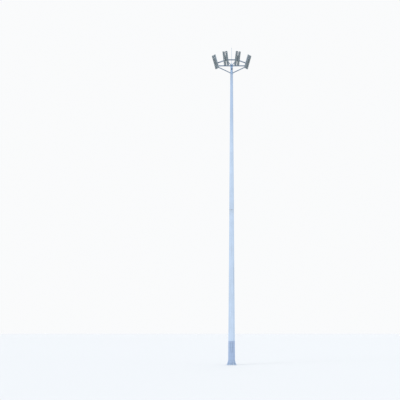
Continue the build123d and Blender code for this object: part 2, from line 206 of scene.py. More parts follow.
def settle(mesh: Mesh, place: Matrix = IDENTITY, sharp: float = SHARP_FROM) -> Mesh:
    """Note a mesh's own coordinates, where its template hasn't, put it in its place and shade it.

    Args:
        mesh: the mesh, in its own coordinates.
        place: matrix that takes it to the object's coordinates.
        sharp: angle in degrees past which an edge stays sharp.

    Returns:
        The same mesh.
    """
    if Coordinates.LOCAL.value not in mesh.attributes:
        local = mesh.attributes.new(Coordinates.LOCAL.value, "FLOAT_VECTOR", "POINT")
        flat = [0.0] * (3 * len(mesh.vertices))
        mesh.vertices.foreach_get("co", flat)
        local.data.foreach_set("vector", flat)
    mesh.transform(place)
    mesh.shade_smooth()
    mesh.set_sharp_from_angle(angle=radians(sharp))
    return mesh


class Draft:
    """A mesh under construction. Bevelled edges are noted as rubbed, for the finishes to read."""

    def __init__(self) -> None:
        """Start with an empty mesh."""
        self.bm = bmesh.new()
        self.rub = self.bm.loops.layers.float.new("rub")
        self.fresh: Ring = []

    def ring(self, points: Sequence[Vector]) -> Ring:
        """Make vertices.

        Args:
            points: where they go, in order.

        Returns:
            The vertices.
        """
        made = [self.bm.verts.new(point) for point in points]
        self.fresh.extend(made)
        return made

    def level(self, outline: Outline, z: float, place: Matrix) -> Ring:
        """New vertices at an outline's points, at one z of the local frame."""
        return self.ring([place @ Vector((x, y, z)) for x, y in outline])

    def bridge(self, low: Ring, high: Ring) -> None:
        """Join two closed rings with faces.

        Args:
            low: the first ring, or the single vertex of a pole.
            high: the second ring, or the single vertex of a pole.
        """
        for i in range(max(len(low), len(high))):
            corners = [low[i % len(low)], low[(i + 1) % len(low)]]
            corners += [high[(i + 1) % len(high)], high[i % len(high)]]
            self.bm.faces.new(list(dict.fromkeys(corners)))

    def skin(self, rings: Sequence[Ring], loop: bool = False) -> None:
        """Join rings in their order and close what they make.

        Args:
            rings: the rings. The first and the last may be the single vertex of a pole.
            loop: whether the last ring joins the first, as on a pipe, instead of both being capped.
        """
        for low, high in zip(rings, rings[1:]):
            self.bridge(low, high)
        if loop:
            self.bridge(rings[-1], rings[0])
            return
        for end in (rings[0], rings[-1]):
            if len(end) > 1:
                self.bm.faces.new(end)

    def lathe(
        self, profile: Outline, place: Matrix = IDENTITY, segments: int = 48, loop: bool = False
    ) -> None:
        """Turn a profile about the local z.

        Args:
            profile: (radius, height) points from one end to the other.
            place: the local frame.
            segments: how many faces go round.
            loop: whether the profile closes on itself, as a pipe's does.
        """
        rings = []
        for radius, height in profile:
            outline = circle(radius, segments if radius else 1)
            rings.append(self.level(outline, height, place))
        self.skin(rings, loop)

    def prism(self, outline: Outline, low: float, high: float, place: Matrix = IDENTITY) -> None:
        """Extrude an outline between two heights of the local frame."""
        self.skin([self.level(outline, z, place) for z in (low, high)])

    def plate(
        self, outer: Outline, holes: Sequence[Outline], low: float, high: float, place: Matrix = IDENTITY
    ) -> None:
        """Extrude an outline with holes along the local z.

        Args:
            outer: the outline.
            holes: the outlines of the holes.
            low: local z of one face.
            high: local z of the other face.
            place: the local frame.
        """
        rims: tuple[list, list] = ([], [])
        for outline in (outer, *holes):
            ends = [self.level(outline, z, place) for z in (low, high)]
            self.bridge(*ends)
            for rim, end in zip(rims, ends):
                rim += [self.bm.edges.get(pair) for pair in zip(end, end[1:] + end[:1])]
        for rim in rims:
            bmesh.ops.triangle_fill(self.bm, use_beauty=True, edges=rim)

    def box(self, low: Sequence[float], high: Sequence[float]) -> None:
        """A block between two corners."""
        outline = [(low[0], low[1]), (high[0], low[1]), (high[0], high[1]), (low[0], high[1])]
        self.prism(outline, low[2], high[2])

    def tube(
        self, start: Vector, end: Vector, radius: float, start_cuts: Sequence[Cut], end_cuts: Sequence[Cut]
    ) -> tuple[Path, Path]:
        """A round tube between two points, cut or notched at both ends.

        Args:
            start: where its axis starts.
            end: where its axis ends.
            radius: its outside radius.
            start_cuts: what it is cut to at its start.
            end_cuts: what it is cut to at its end.

        Returns:
            The outlines of its two ends.
        """
        way = (end - start).normalized()
        side = way.cross(UP).normalized()
        rise = side.cross(way)
        near, far = [], []
        for x, y in circle(radius, TUBE_SIDES):
            origin = (start + end) / 2 + side * x + rise * y
            near.append(touch(origin, -way, start_cuts))
            far.append(touch(origin, way, end_cuts))
        self.skin([self.ring(near), self.ring(far)])
        return near, far

    def take(self, mesh: Mesh, place: Matrix = IDENTITY) -> None:
        """Add another mesh's faces.

        Args:
            mesh: the mesh, which is removed.
            place: matrix that it is put in its place with.
        """
        mesh.transform(place)
        before = len(self.bm.verts)
        self.bm.from_mesh(mesh)
        self.bm.verts.ensure_lookup_table()
        self.fresh += self.bm.verts[before:]
        bpy.data.meshes.remove(mesh)

    def take_node(self, node: str, place: Matrix = IDENTITY) -> None:
        """Add a CAD node's solid, merged, with its flat faces whole.

        Args:
            node: the node's name.
            place: matrix that takes it to the draft's coordinates.
        """
        self.take(frame["nodes"][node].data.copy(), place)
        bmesh.ops.remove_doubles(self.bm, verts=self.bm.verts, dist=1e-5)
        flat = radians(0.5)
        bmesh.ops.dissolve_limit(self.bm, angle_limit=flat, verts=self.bm.verts, edges=self.bm.edges)
        self.reopen()

    def reopen(self) -> None:
        """Let the next softening reach all of the draft."""
        self.fresh = list(self.bm.verts)

    def leave(self) -> None:
        """Keep the next softening off what is there."""
        self.fresh = []

    def soften(
        self,
        width: float,
        segments: int = 2,
        sharper: float = 50.0,
        pick: Callable[[bmesh.types.BMEdge], bool] | None = None,
    ) -> None:
        """Round the sharp edges of what was added since the last softening.

        Args:
            width: how far the rounding reaches from an edge.
            segments: faces across the rounding.
            sharper: angle in degrees past which an edge is rounded.
            pick: test that an edge has to pass as well.
        """
        faces = dict.fromkeys(face for vert in self.fresh for face in vert.link_faces)
        bmesh.ops.recalc_face_normals(self.bm, faces=list(faces))
        edges = dict.fromkeys(edge for face in faces for edge in face.edges)
        sharp = [edge for edge in edges if edge.is_manifold and edge.calc_face_angle() > radians(sharper)]
        made = bmesh.ops.bevel(
            self.bm,
            geom=[edge for edge in sharp if pick is None or pick(edge)],
            offset=width,
            offset_type="OFFSET",
            segments=segments,
            profile=0.5,
            affect="EDGES",
            clamp_overlap=True,
        )
        for face in made["faces"]:
            for loop in face.loops:
                loop[self.rub] = 1.0
        self.leave()

    def mesh(self, place: Matrix = IDENTITY, sharp: float = SHARP_FROM) -> Mesh:
        """Finish the draft.

        Args:
            place: matrix that takes the draft to the object's coordinates.
            sharp: angle in degrees past which an edge stays sharp.

        Returns:
            The mesh, its faces pointing outwards.
        """
        bmesh.ops.recalc_face_normals(self.bm, faces=self.bm.faces)
        made = bpy.data.meshes.new("draft")
        self.bm.to_mesh(made)
        self.bm.free()
        return settle(made, place, sharp)


# Node trees


class NodeTree:
    """Short calls for the nodes of a tree."""

    def __init__(self, tree: bpy.types.NodeTree) -> None:
        """Work on that tree."""
        self.tree = tree

    def feed(self, socket: Socket, value: object) -> None:
        """Give an input what it works with.

        Args:
            socket: the input.
            value: a socket to link it to, or the value to set it to.
        """
        if isinstance(value, Socket):
            self.tree.links.new(value, socket)
        else:
            socket.default_value = value

    def node(self, kind: str, inputs: dict | None = None, **settings: object) -> bpy.types.Node:
        """Add a node.

        Args:
            kind: the node's type.
            inputs: what each named or numbered input is linked to or set to.
            settings: the node's own properties.

        Returns:
            The node.
        """
        made = self.tree.nodes.new(kind)
        for name, value in settings.items():
            setattr(made, name, value)
        for name, value in (inputs or {}).items():
            self.feed(made.inputs[name], value)
        return made

    def math(self, operation: str, *values: Number) -> Socket:
        """The result of a Math node on numbers or sockets."""
        return self.node("ShaderNodeMath", dict(enumerate(values)), operation=operation).outputs[0]

    def times(self, first: Number, second: Number) -> Socket:
        """The product of two numbers or sockets."""
        return self.math("MULTIPLY", first, second)

    def times_plus(self, value: Number, factor: Number, added: Number) -> Socket:
        """A value times a factor, plus another value."""
        return self.math("MULTIPLY_ADD", value, factor, added)


class GeometryTree(NodeTree):
    """A Geometry Nodes tree with named inputs, which grows plain meshes."""

    def __init__(self, name: str) -> None:
        """Start a tree.

        Args:
            name: the tree's name.
        """
        super().__init__(bpy.data.node_groups.new(name, "GeometryNodeTree"))
        self.entry = self.node("NodeGroupInput")
        self.keys: dict[str, str] = {}
        self.start = self.input("Geometry", "NodeSocketGeometry")
        self.tree.interface.new_socket("Geometry", in_out="OUTPUT", socket_type="NodeSocketGeometry")

    def input(self, name: str, kind: str = "NodeSocketFloat") -> Socket:
        """Add a named input.

        Args:
            name: the input's name.
            kind: its socket type.

        Returns:
            The socket to link from.
        """
        item = self.tree.interface.new_socket(name, in_out="INPUT", socket_type=kind)
        self.keys[name] = item.identifier
        return self.entry.outputs[name]

    def attribute(self, name: str, kind: str) -> Socket:
        """The named attribute of the geometry."""
        inputs = {"Name": name}
        return self.node("GeometryNodeInputNamedAttribute", inputs, data_type=kind).outputs["Attribute"]

    def close(self, geometry: Socket) -> None:
        """End the tree: everything is made real and takes the Material input.

        Args:
            geometry: the socket that holds the result.
        """
        material = self.input("Material", "NodeSocketMaterial")
        real = self.node("GeometryNodeRealizeInstances", {"Geometry": geometry}).outputs[0]
        painted = self.node("GeometryNodeSetMaterial", {"Geometry": real, "Material": material})
        self.node("NodeGroupOutput", {0: painted.outputs[0]})

    def grow(self, start: Mesh | None = None, **values: object) -> Mesh:
        """Run the tree.

        Args:
            start: the mesh that it starts from, where it needs one, which is removed.
            values: its inputs, their names in lower case with underscores for spaces.

        Returns:
            The result as a plain mesh.
        """
        start = start or bpy.data.meshes.new("nothing")
        holder = bpy.data.objects.new("grower", start)
        bpy.context.scene.collection.objects.link(holder)
        modifier = holder.modifiers.new("grow", "NODES")
        modifier.node_group = self.tree
        for name, key in self.keys.items():
            plain = name.lower().replace(" ", "_")
            if plain in values:
                modifier[key] = values[plain]
        ready = holder.evaluated_get(bpy.context.evaluated_depsgraph_get())
        made = bpy.data.meshes.new_from_object(ready)
        holder.modifiers.clear()
        bpy.data.objects.remove(holder)
        bpy.data.meshes.remove(start)
        return made


@cache
def bead_tree() -> GeometryTree:
    """Tree of rippled weld beads along the edges of a mesh, whose points say their size.

    Returns:
        The tree.
    """
    tree = GeometryTree("weld_beads")
    step = tree.input("Step")
    pitch = tree.input("Ripple Pitch")
    depth = tree.input("Ripple Depth")
    unevenness = tree.input("Unevenness")
    sides = tree.input("Sides", "NodeSocketInt")
    seed = tree.input("Seed", "NodeSocketInt")
    curve = tree.node("GeometryNodeMeshToCurve", {"Mesh": tree.start}).outputs[0]
    fine = tree.node("GeometryNodeResampleCurve", {"Curve": curve, "Length": step}, mode="LENGTH")
    length = tree.node("GeometryNodeSplineParameter").outputs["Length"]
    phase = tree.times(tree.math("DIVIDE", length, pitch), 2 * pi)
    wave = tree.times_plus(tree.math("SINE", phase), depth, 1.0)
    chance = tree.node("FunctionNodeRandomValue", {"Seed": seed}, data_type="FLOAT").outputs[1]
    swell = tree.times_plus(tree.math("SUBTRACT", chance, 0.5), unevenness, wave)
    size = tree.times(swell, tree.attribute("size", "FLOAT"))
    profile = tree.node("GeometryNodeCurvePrimitiveCircle", {"Resolution": sides, "Radius": 1.0})
    inputs = {"Curve": fine.outputs[0], "Profile Curve": profile.outputs[0], "Scale": size, "Fill Caps": True}
    tree.close(tree.node("GeometryNodeCurveToMesh", inputs).outputs[0])
    return tree


@cache
def scatter_tree() -> GeometryTree:
    """Tree that sets a template on each point of a mesh, along its facing and turned by its turn.

    Returns:
        The tree.
    """
    tree = GeometryTree("set_on_points")
    template = tree.input("Template", "NodeSocketObject")
    thing = tree.node("GeometryNodeObjectInfo", {"Object": template, "As Instance": True})
    inputs = {"Vector": tree.attribute("facing", "FLOAT_VECTOR")}
    facing = tree.node("FunctionNodeAlignRotationToVector", inputs, axis="Z").outputs[0]
    inputs = {"Axis": (0, 0, 1), "Angle": tree.attribute("turn", "FLOAT")}
    spin = tree.node("FunctionNodeAxisAngleToRotation", inputs).outputs[0]
    inputs = {"Rotation": facing, "Rotate By": spin}
    turned = tree.node("FunctionNodeRotateRotation", inputs, rotation_space="LOCAL").outputs[0]
    inputs = {"Points": tree.start, "Instance": thing.outputs["Geometry"], "Rotation": turned}
    tree.close(tree.node("GeometryNodeInstanceOnPoints", inputs).outputs[0])
    return tree


@cache
def fin_tree() -> GeometryTree:
    """Tree of a row of upright fins that run along y, stand in z and follow one another in x.

    Returns:
        The tree.
    """
    tree = GeometryTree("fin_row")
    inputs = {"Width": tree.input("Thickness"), "Height": tree.input("Height")}
    section = tree.node("GeometryNodeCurvePrimitiveQuadrilateral", inputs).outputs[0]
    inputs = {"Curve": section, "Count": 2, "Radius": tree.input("Rounding"), "Limit Radius": True}
    smooth = tree.node("GeometryNodeFilletCurve", inputs, mode="POLY").outputs[0]
    end = tree.node("ShaderNodeCombineXYZ", {"Y": tree.input("Length")}).outputs[0]
    line = tree.node("GeometryNodeCurvePrimitiveLine", {"End": end}).outputs[0]
    inputs = {"Curve": line, "Profile Curve": smooth, "Fill Caps": True}
    fin = tree.node("GeometryNodeCurveToMesh", inputs).outputs[0]
    offset = tree.node("ShaderNodeCombineXYZ", {"X": tree.input("Pitch")}).outputs[0]
    inputs = {"Count": tree.input("Count", "NodeSocketInt"), "Offset": offset}
    row = tree.node("GeometryNodeMeshLine", inputs, mode="OFFSET").outputs[0]
    placed = tree.node("GeometryNodeInstanceOnPoints", {"Points": row, "Instance": fin})
    tree.close(placed.outputs[0])
    return tree


@dataclass
class WeldLines:
    """Paths that weld beads run along."""

    points: Path = field(default_factory=list)
    edges: list[tuple[int, int]] = field(default_factory=list)
    sizes: list[float] = field(default_factory=list)

    def add(self, path: Sequence[Vector], size: float, closed: bool = True) -> None:
        """Add a path.

        Args:
            path: its points.
            size: the bead's radius.
            closed: whether the path runs back to its start.
        """
        first = len(self.points)
        self.points += path
        self.sizes += [size] * len(path)
        count = len(path) if closed else len(path) - 1
        self.edges += [(first + i, first + (i + 1) % len(path)) for i in range(count)]

    def grow(self, pitch: float, depth: float = 0.14) -> Mesh:
        """Lay the beads.

        Args:
            pitch: distance from ripple to ripple.
            depth: how deep the ripples are, against the bead's radius.

        Returns:
            The beads as one mesh.
        """
        lines = bpy.data.meshes.new("weld_lines")
        lines.from_pydata(self.points, self.edges, [])
        lines.attributes.new("size", "FLOAT", "POINT").data.foreach_set("value", self.sizes)
        sizes = {"step": pitch / 4, "ripple_pitch": pitch, "ripple_depth": depth, "unevenness": 0.12}
        draft = Draft()
        draft.take(bead_tree().grow(lines, sides=8, seed=SEED, **sizes))
        return draft.mesh(sharp=80.0)


@dataclass
class Spots:
    """Points that copies of one template are set on."""

    points: Path = field(default_factory=list)
    facings: list[float] = field(default_factory=list)
    turns: list[float] = field(default_factory=list)

    def add(self, point: Vector, facing: Vector = UP, turn: float = 0.0) -> None:
        """Add a point.

        Args:
            point: where the template's origin goes.
            facing: where its z goes.
            turn: how far it is turned about that, in radians.
        """
        self.points.append(point)
        self.facings.extend(facing.normalized())
        self.turns.append(turn)

    def grow(self, template: Mesh) -> Mesh:
        """Set the template on every point.

        Args:
            template: the mesh to copy.

        Returns:
            All copies as one mesh.
        """
        spots = bpy.data.meshes.new("spots")
        spots.from_pydata(self.points, [], [])
        spots.attributes.new("facing", "FLOAT_VECTOR", "POINT").data.foreach_set("vector", self.facings)
        spots.attributes.new("turn", "FLOAT", "POINT").data.foreach_set("value", self.turns)
        holder = bpy.data.objects.new("template", template)
        made = scatter_tree().grow(spots, template=holder)
        bpy.data.objects.remove(holder)
        return made


# Shader nodes


class ShaderTree(NodeTree):
    """Short calls for the nodes of a material or a shader group."""

    def stretched(self, vector: Socket, factors: Sequence[float]) -> Socket:
        """The vector, each of its parts times a factor."""
        inputs = {0: vector, 1: factors}
        return self.node("ShaderNodeVectorMath", inputs, operation="MULTIPLY").outputs[0]

    def height(self, vector: Socket) -> Socket:
        """The vector's z."""
        return self.node("ShaderNodeSeparateXYZ", {0: vector}).outputs["Z"]

    def attribute(self, name: str, part: str) -> Socket:
        """A part, as Fac or Vector, of the mesh's named attribute."""
        return self.node("ShaderNodeAttribute", attribute_name=name).outputs[part]

    def noise(self, vector: Socket, scale: Number, detail: float) -> Socket:
        """Noise, mostly from 0.3 to 0.7, with that many lumps in a metre and finer layers of detail."""
        inputs = {"Vector": vector, "Scale": scale, "Detail": detail}
        return self.node("ShaderNodeTexNoise", inputs).outputs["Fac"]

    def cells(self, vector: Socket, scale: float, output: str) -> Socket:
        """An output, as Distance or Color, of a pattern of cells with that many in a metre."""
        return self.node("ShaderNodeTexVoronoi", {"Vector": vector, "Scale": scale}).outputs[output]

    def between(self, value: Number, low: Number, high: Number) -> Socket:
        """A smooth step, 0 where the value is low and 1 where it is high, which may be the lesser."""
        inputs = {"Value": value, "From Min": low, "From Max": high}
        return self.node("ShaderNodeMapRange", inputs, interpolation_type="SMOOTHSTEP").outputs["Result"]

    def mix(self, factor: Number, first: Socket | Colour, second: Socket | Colour) -> Socket:
        """A colour between two, the first where the factor is 0 and the second where it is 1."""
        first, second = ((*value, 1.0) if isinstance(value, tuple) else value for value in (first, second))
        return self.node("ShaderNodeMix", {0: factor, 6: first, 7: second}, data_type="RGBA").outputs[2]

    def cover(self, under: Socket, tone: Colour, mask: Socket, strength: float) -> Socket:
        """The colour under a tone that a mask lays over it, at full strength or less."""
        return self.mix(self.times(mask, strength), under, tone)


Effect = Callable[..., Socket]


def shared(result: str, *numbers: str) -> Callable[[Effect], Effect]:
    """Make an effect that materials share out of the function that wires it.

    Args:
        result: name of its group's output.
        numbers: names of the group's inputs for numbers, next to Vector.

    Returns:
        The decorator. What it makes places the group, which is built once, in a material's tree.
    """

    def decorate(wire: Effect) -> Effect:
        """Wrap the function that wires the effect.

        Args:
            wire: makes the nodes from the inputs' sockets.

        Returns:
            The function that places the effect's group.
        """

        @cache
        def group() -> bpy.types.NodeTree:
            """Build the effect's shader group.

            Returns:
                The group.
            """
            made = bpy.data.node_groups.new(wire.__name__, "ShaderNodeTree")
            made.interface.new_socket("Vector", in_out="INPUT", socket_type="NodeSocketVector")
            for number in numbers:
                made.interface.new_socket(number, in_out="INPUT", socket_type="NodeSocketFloat")
            made.interface.new_socket(result, in_out="OUTPUT", socket_type="NodeSocketFloat")
            nodes = ShaderTree(made)
            given = nodes.node("NodeGroupInput").outputs
            value = wire(nodes, given["Vector"], *(given[number] for number in numbers))
            nodes.node("NodeGroupOutput", {result: value})
            return made

        @wraps(wire)
        def placed(nodes: ShaderTree, place: Socket, *values: Number) -> Socket:
            """Place the group with a material's own values."""
            inputs = {"Vector": place, **dict(zip(numbers, values))}
            return nodes.node("ShaderNodeGroup", inputs, node_tree=group()).outputs[result]

        return placed

    return decorate


@shared("Height", "Scale")
def orange_peel(nodes: ShaderTree, place: Socket, scale: Number) -> Socket:
    """Height of the fine dimples of sprayed paint, the coarser ones that many to a metre."""
    fine = nodes.noise(place, nodes.times(scale, 2.7), 0.0)
    return nodes.times_plus(fine, 0.35, nodes.noise(place, scale, 1.0))


@shared("Mask", "Fineness", "Amount")
def rain_marks(nodes: ShaderTree, place: Socket, fineness: Number, amount: Number) -> Socket:
    """Thin upright marks that rain leaves, thicker in some patches.

    Args:
        nodes: the tree.
        place: the coordinates.
        fineness: how many marks there are in a metre.
        amount: how strong they are.

    Returns:
        A mask.
    """
    drawn = nodes.stretched(place, (1.0, 1.0, 0.02))
    streak = nodes.between(nodes.noise(drawn, fineness, 3.0), 0.47, 0.72)
    patch = nodes.between(nodes.noise(place, 1.1, 2.0), 0.35, 0.65)
    return nodes.times(nodes.times(streak, patch), amount)


@shared("Mask", "Level", "Reach")
def settled_dirt_and_shade(nodes: ShaderTree, place: Socket, level: Number, reach: Number) -> Socket:
    """Dirt, with painted shade where it hangs under a ledge, that is full at a level, gone at the level plus
    the reach, and broken up.

    Args:
        nodes: the tree.
        place: the coordinates.
        level: height of its thick edge.
        reach: height of the band, negative where it hangs down.

    Returns:
        A mask.
    """
    away = nodes.math("DIVIDE", nodes.math("SUBTRACT", nodes.height(place), level), reach)
    near = nodes.between(away, 1.0, 0.0)
    inside = nodes.math("GREATER_THAN", away, 0.0)
    drawn = nodes.stretched(place, (1.0, 1.0, 0.05))
    runs = nodes.between(nodes.noise(drawn, 55.0, 3.0), 0.4, 0.72)
    film = nodes.between(nodes.noise(place, 16.0, 8.0), 0.32, 0.8)
    broken = nodes.times_plus(runs, 0.6, nodes.times(film, 0.5))
    return nodes.times(nodes.times(near, inside), broken)


@shared("Mask", "Width")
def facet_edges(nodes: ShaderTree, place: Socket, width: Number) -> Socket:
    """The bent edges of an octagonal pole, found from how far round from a facet's middle a point is.

    Args:
        nodes: the tree.
        place: the coordinates.
        width: half an edge's width, against the facet's.

    Returns:
        A mask that is 1 on the edges.
    """
    parts = nodes.node("ShaderNodeSeparateXYZ", {0: place}).outputs
    turn = nodes.math("DIVIDE", nodes.math("ARCTAN2", parts["Y"], parts["X"]), pi / 4)
    off_middle = nodes.math("ABSOLUTE", nodes.math("SUBTRACT", turn, nodes.math("ROUND", turn)))
    return nodes.between(off_middle, nodes.math("SUBTRACT", 0.5, width), 0.5)


@shared("Height", "Fineness")
def drawn_grain(nodes: ShaderTree, place: Socket, fineness: Number) -> Socket:
    """Height of fine lines along y, as an extrusion's die or a brush leaves them."""
    return nodes.noise(nodes.stretched(place, (1.0, 0.008, 1.0)), fineness, 3.0)


@shared("Mask", "Scale")
def rubbed_edges(nodes: ShaderTree, place: Socket, scale: Number) -> Socket:
    """Mask of the rubbed edges, which are the bevels' own mark, broken up by a coarse noise."""
    broken = nodes.between(nodes.noise(place, scale, 3.0), 0.38, 0.6)
    return nodes.times(nodes.attribute("rub", "Fac"), broken)


# Finishes


@dataclass(frozen=True)
class Finish:
    """What every finish has."""

    name: str  # the material's name
    slot: str  # the record's material slot
    colour: Colour  # main colour, linear
    roughness: float  # plain roughness
    metallic: float = 0.0  # 1 for bare metal
    coat: float = 0.0  # weight of a clear coat
    reads: Coordinates = Coordinates.OBJECT  # where the pattern's coordinates come from

    def material(self) -> bpy.types.Material:
        """Make the Blender material the first time that it is asked for.

        Returns:
            The material.
        """
        if self.name in bpy.data.materials:
            return bpy.data.materials[self.name]
        made = bpy.data.materials.new(self.name)
        made.use_nodes = True
        nodes = ShaderTree(made.node_tree)
        if self.reads is Coordinates.OBJECT:
            place = nodes.node("ShaderNodeTexCoord").outputs["Object"]
        else:
            place = nodes.attribute(self.reads.value, "Vector")
        colour, rough, height, depth = self.wire(nodes, place)
        bump = nodes.node("ShaderNodeBump", {"Strength": 1.0, "Distance": depth, "Height": height})
        inputs = {
            "Base Color": colour,
            "Metallic": self.metallic,
            "Roughness": rough,
            "Normal": bump.outputs[0],
            "Coat Weight": self.coat,
            "Coat Roughness": 0.15,
        }
        shader = made.node_tree.nodes["Principled BSDF"]
        for name, value in inputs.items():
            nodes.feed(shader.inputs[name], value)
        return made

    def shade(self, *factors: float) -> Colour:
        """The main colour times one factor, or times one for each of its parts."""
        spread = factors if len(factors) > 1 else factors * 3
        return tuple(min(1.0, part * factor) for part, factor in zip(self.colour, spread))

    def wire(self, nodes: ShaderTree, place: Socket) -> Surface:
        """Make the finish's own nodes.

        Args:
            nodes: the material's nodes.
            place: the pattern's coordinates.

        Returns:
            Sockets for colour, roughness and bump height, and the bump's depth in metres.
        """
        raise NotImplementedError


@dataclass(frozen=True)
class DirtAndShadeBand:
    """A level band of dirt, which under a ledge also paints the ledge's shade."""

    level: float  # height of its thick edge
    reach: float  # height of the band, negative where it hangs down
    strength: float  # how strong it is at that edge


@dataclass(frozen=True)
class SprayedPaint(Finish):
    """Sprayed coating on galvanised steel, some years outdoors."""

    dirt_and_shade: Colour = (0.25, 0.27, 0.28)  # colour of dirt, and of the painted shade under ledges
    rain: float = 0.35  # how strong the rain's marks are
    facets: bool = False  # whether the piece has the pole's bent edges, painted paler, partly as worn coating and partly as a highlight where the bends catch the light
    bands: tuple[DirtAndShadeBand, ...] = ()  # the bands of dirt on it, with painted shade in those under a ledge
    top_shade: tuple[float, ...] = ()  # heights between which it turns to the darker, bluer painted shade of the top

    def wire(self, nodes: ShaderTree, place: Socket) -> Surface:
        """Cloudy tone, bent edges painted paler as worn coating and highlight, painted shade towards the top,
        rain marks, dirt bands with painted shade under ledges, and orange peel.
        """
        cloud = nodes.between(nodes.noise(place, 1.7, 4.0), 0.3, 0.7)
        colour = nodes.mix(cloud, self.shade(0.955), self.shade(1.035))
        if self.facets:
            # Painted highlight along the bent edges, where the bends catch the light, on top of some worn
            # coating there.
            colour = nodes.cover(colour, self.shade(1.16), facet_edges(nodes, place, 0.13), 0.45)
        # Painted shade: towards the top the coating turns darker and bluer, standing in for the dimmer light
        # on the pole under its head.
        if self.top_shade:
            turned = nodes.between(nodes.height(place), *self.top_shade)
            top_shade_amount = nodes.times(turned, nodes.times_plus(cloud, 0.2, 0.8))
            colour = nodes.mix(top_shade_amount, colour, self.shade(0.81, 0.855, 0.915))
        colour = nodes.cover(colour, self.shade(1.2), rubbed_edges(nodes, place, 60.0), 0.5)
        dirt_and_shade = rain_marks(nodes, place, 34.0, self.rain)
        # Bands of dirt, and of painted shade where they hang under a ledge.
        for band in self.bands:
            settled = nodes.times(settled_dirt_and_shade(nodes, place, band.level, band.reach), band.strength)
            dirt_and_shade = nodes.math("MAXIMUM", dirt_and_shade, settled)
        colour = nodes.mix(dirt_and_shade, colour, self.dirt_and_shade)
        rough = nodes.times_plus(dirt_and_shade, 0.3, nodes.times_plus(cloud, 0.08, self.roughness))
        return colour, rough, orange_peel(nodes, place, 260.0), 0.00025


@dataclass(frozen=True)
class PebbledCoating(SprayedPaint):
    """Thick textured coating that bills don't stick to, rolled on in level bands."""

    roll: float = 0.2  # height of one rolled band

    def wire(self, nodes: ShaderTree, place: Socket) -> Surface:
        """The sprayed coating's wear, with pebbles and the rolled bands' laps."""
        colour, rough, _, _ = super().wire(nodes, place)
        wavy = nodes.times_plus(nodes.noise(place, 3.0, 2.0), 0.05, nodes.height(place))
        part = nodes.math("FRACT", nodes.math("DIVIDE", wavy, self.roll))
        lap = nodes.times(nodes.between(part, 0.0, 0.06), nodes.between(part, 0.2, 0.08))
        colour = nodes.cover(colour, self.shade(0.72), lap, 0.4)
        pebbles = nodes.cells(place, 210.0, "Distance")
        colour = nodes.cover(colour, self.shade(0.8), nodes.between(pebbles, 0.35, 0.75), 0.25)
        bump = nodes.times_plus(lap, 0.8, nodes.math("SUBTRACT", 1.0, pebbles))
        return colour, rough, bump, 0.0009


@dataclass(frozen=True)
class DrawnMetal(Finish):
    """Extruded or brushed metal with lines along the piece, and some dust."""

    grain: float = 900.0  # how many lines there are in a metre
    dust: float = 0.3  # how strong the dust is

    def wire(self, nodes: ShaderTree, place: Socket) -> Surface:
        """Lines, patches of dust and bright rubbed edges."""
        lines = drawn_grain(nodes, place, self.grain)
        colour = nodes.mix(nodes.between(lines, 0.3, 0.7), self.shade(0.82), self.shade(1.18))
        colour = nodes.cover(colour, self.shade(1.8), rubbed_edges(nodes, place, 90.0), 0.6)
        patches = nodes.between(nodes.noise(place, 9.0, 5.0), 0.42, 0.75)
        film = nodes.times(patches, self.dust)
        colour = nodes.mix(film, colour, (0.34, 0.34, 0.32))
        rough = nodes.times_plus(lines, 0.18, self.roughness - 0.09)
        return colour, nodes.times_plus(film, 0.35, rough), lines, 0.00012


@dataclass(frozen=True)
class GalvanisedSteel(Finish):
    """Hot-dip galvanised steel with its frosted crystals, dulled by rain."""

    def wire(self, nodes: ShaderTree, place: Socket) -> Surface:
        """Crystals of slightly different greys, and runs."""
        crystals = nodes.cells(place, 120.0, "Color")
        grey = nodes.node("ShaderNodeSeparateColor", {0: crystals}).outputs[0]
        colour = nodes.mix(grey, self.shade(0.8), self.shade(1.1))
        colour = nodes.mix(rain_marks(nodes, place, 90.0, 0.5), colour, self.shade(0.5))
        rough = nodes.times_plus(grey, 0.16, self.roughness)
        return colour, rough, nodes.noise(place, 500.0, 2.0), 0.0001


@dataclass(frozen=True)
class CastMetal(Finish):
    """Cast or powder-coated metal with a fine sandy skin and speckles."""

    skin: float = 1400.0  # how many grains there are in a metre

    def wire(self, nodes: ShaderTree, place: Socket) -> Surface:
        """Sandy skin, cloudy tone, speckles and rubbed edges."""
        cloud = nodes.between(nodes.noise(place, 14.0, 4.0), 0.35, 0.7)
        colour = nodes.mix(cloud, self.shade(0.9), self.shade(1.08))
        specks = nodes.between(nodes.cells(place, self.skin / 3, "Distance"), 0.3, 0.1)
        colour = nodes.cover(colour, self.shade(0.7), specks, 0.35)
        colour = nodes.cover(colour, self.shade(1.5), rubbed_edges(nodes, place, 110.0), 0.55)
        rough = nodes.times_plus(cloud, 0.12, self.roughness)
        return colour, rough, nodes.noise(place, self.skin, 3.0), 0.0002


@dataclass(frozen=True)
class MouldedPlastic(Finish):
    """Moulded clear covers over lit boards, or rubber where it is dull."""

    core: Colour | None = None  # colour that shows through the middle of a lens, where one does

    def wire(self, nodes: ShaderTree, place: Socket) -> Surface:
        """Slight flow marks and haze, and the lit chip behind each lens."""
        haze = nodes.between(nodes.noise(place, 22.0, 4.0), 0.35, 0.7)
        colour = nodes.mix(haze, self.shade(0.88), self.shade(1.14))
        if self.core:
            chip = nodes.between(nodes.attribute("core", "Fac"), 0.35, 0.85)
            colour = nodes.cover(colour, self.core, chip, 0.5)
        colour = nodes.cover(colour, self.shade(1.5), rubbed_edges(nodes, place, 80.0), 0.35)
        rough = nodes.times_plus(haze, 0.14, self.roughness)
        return colour, rough, nodes.noise(place, 900.0, 1.0), 0.00006
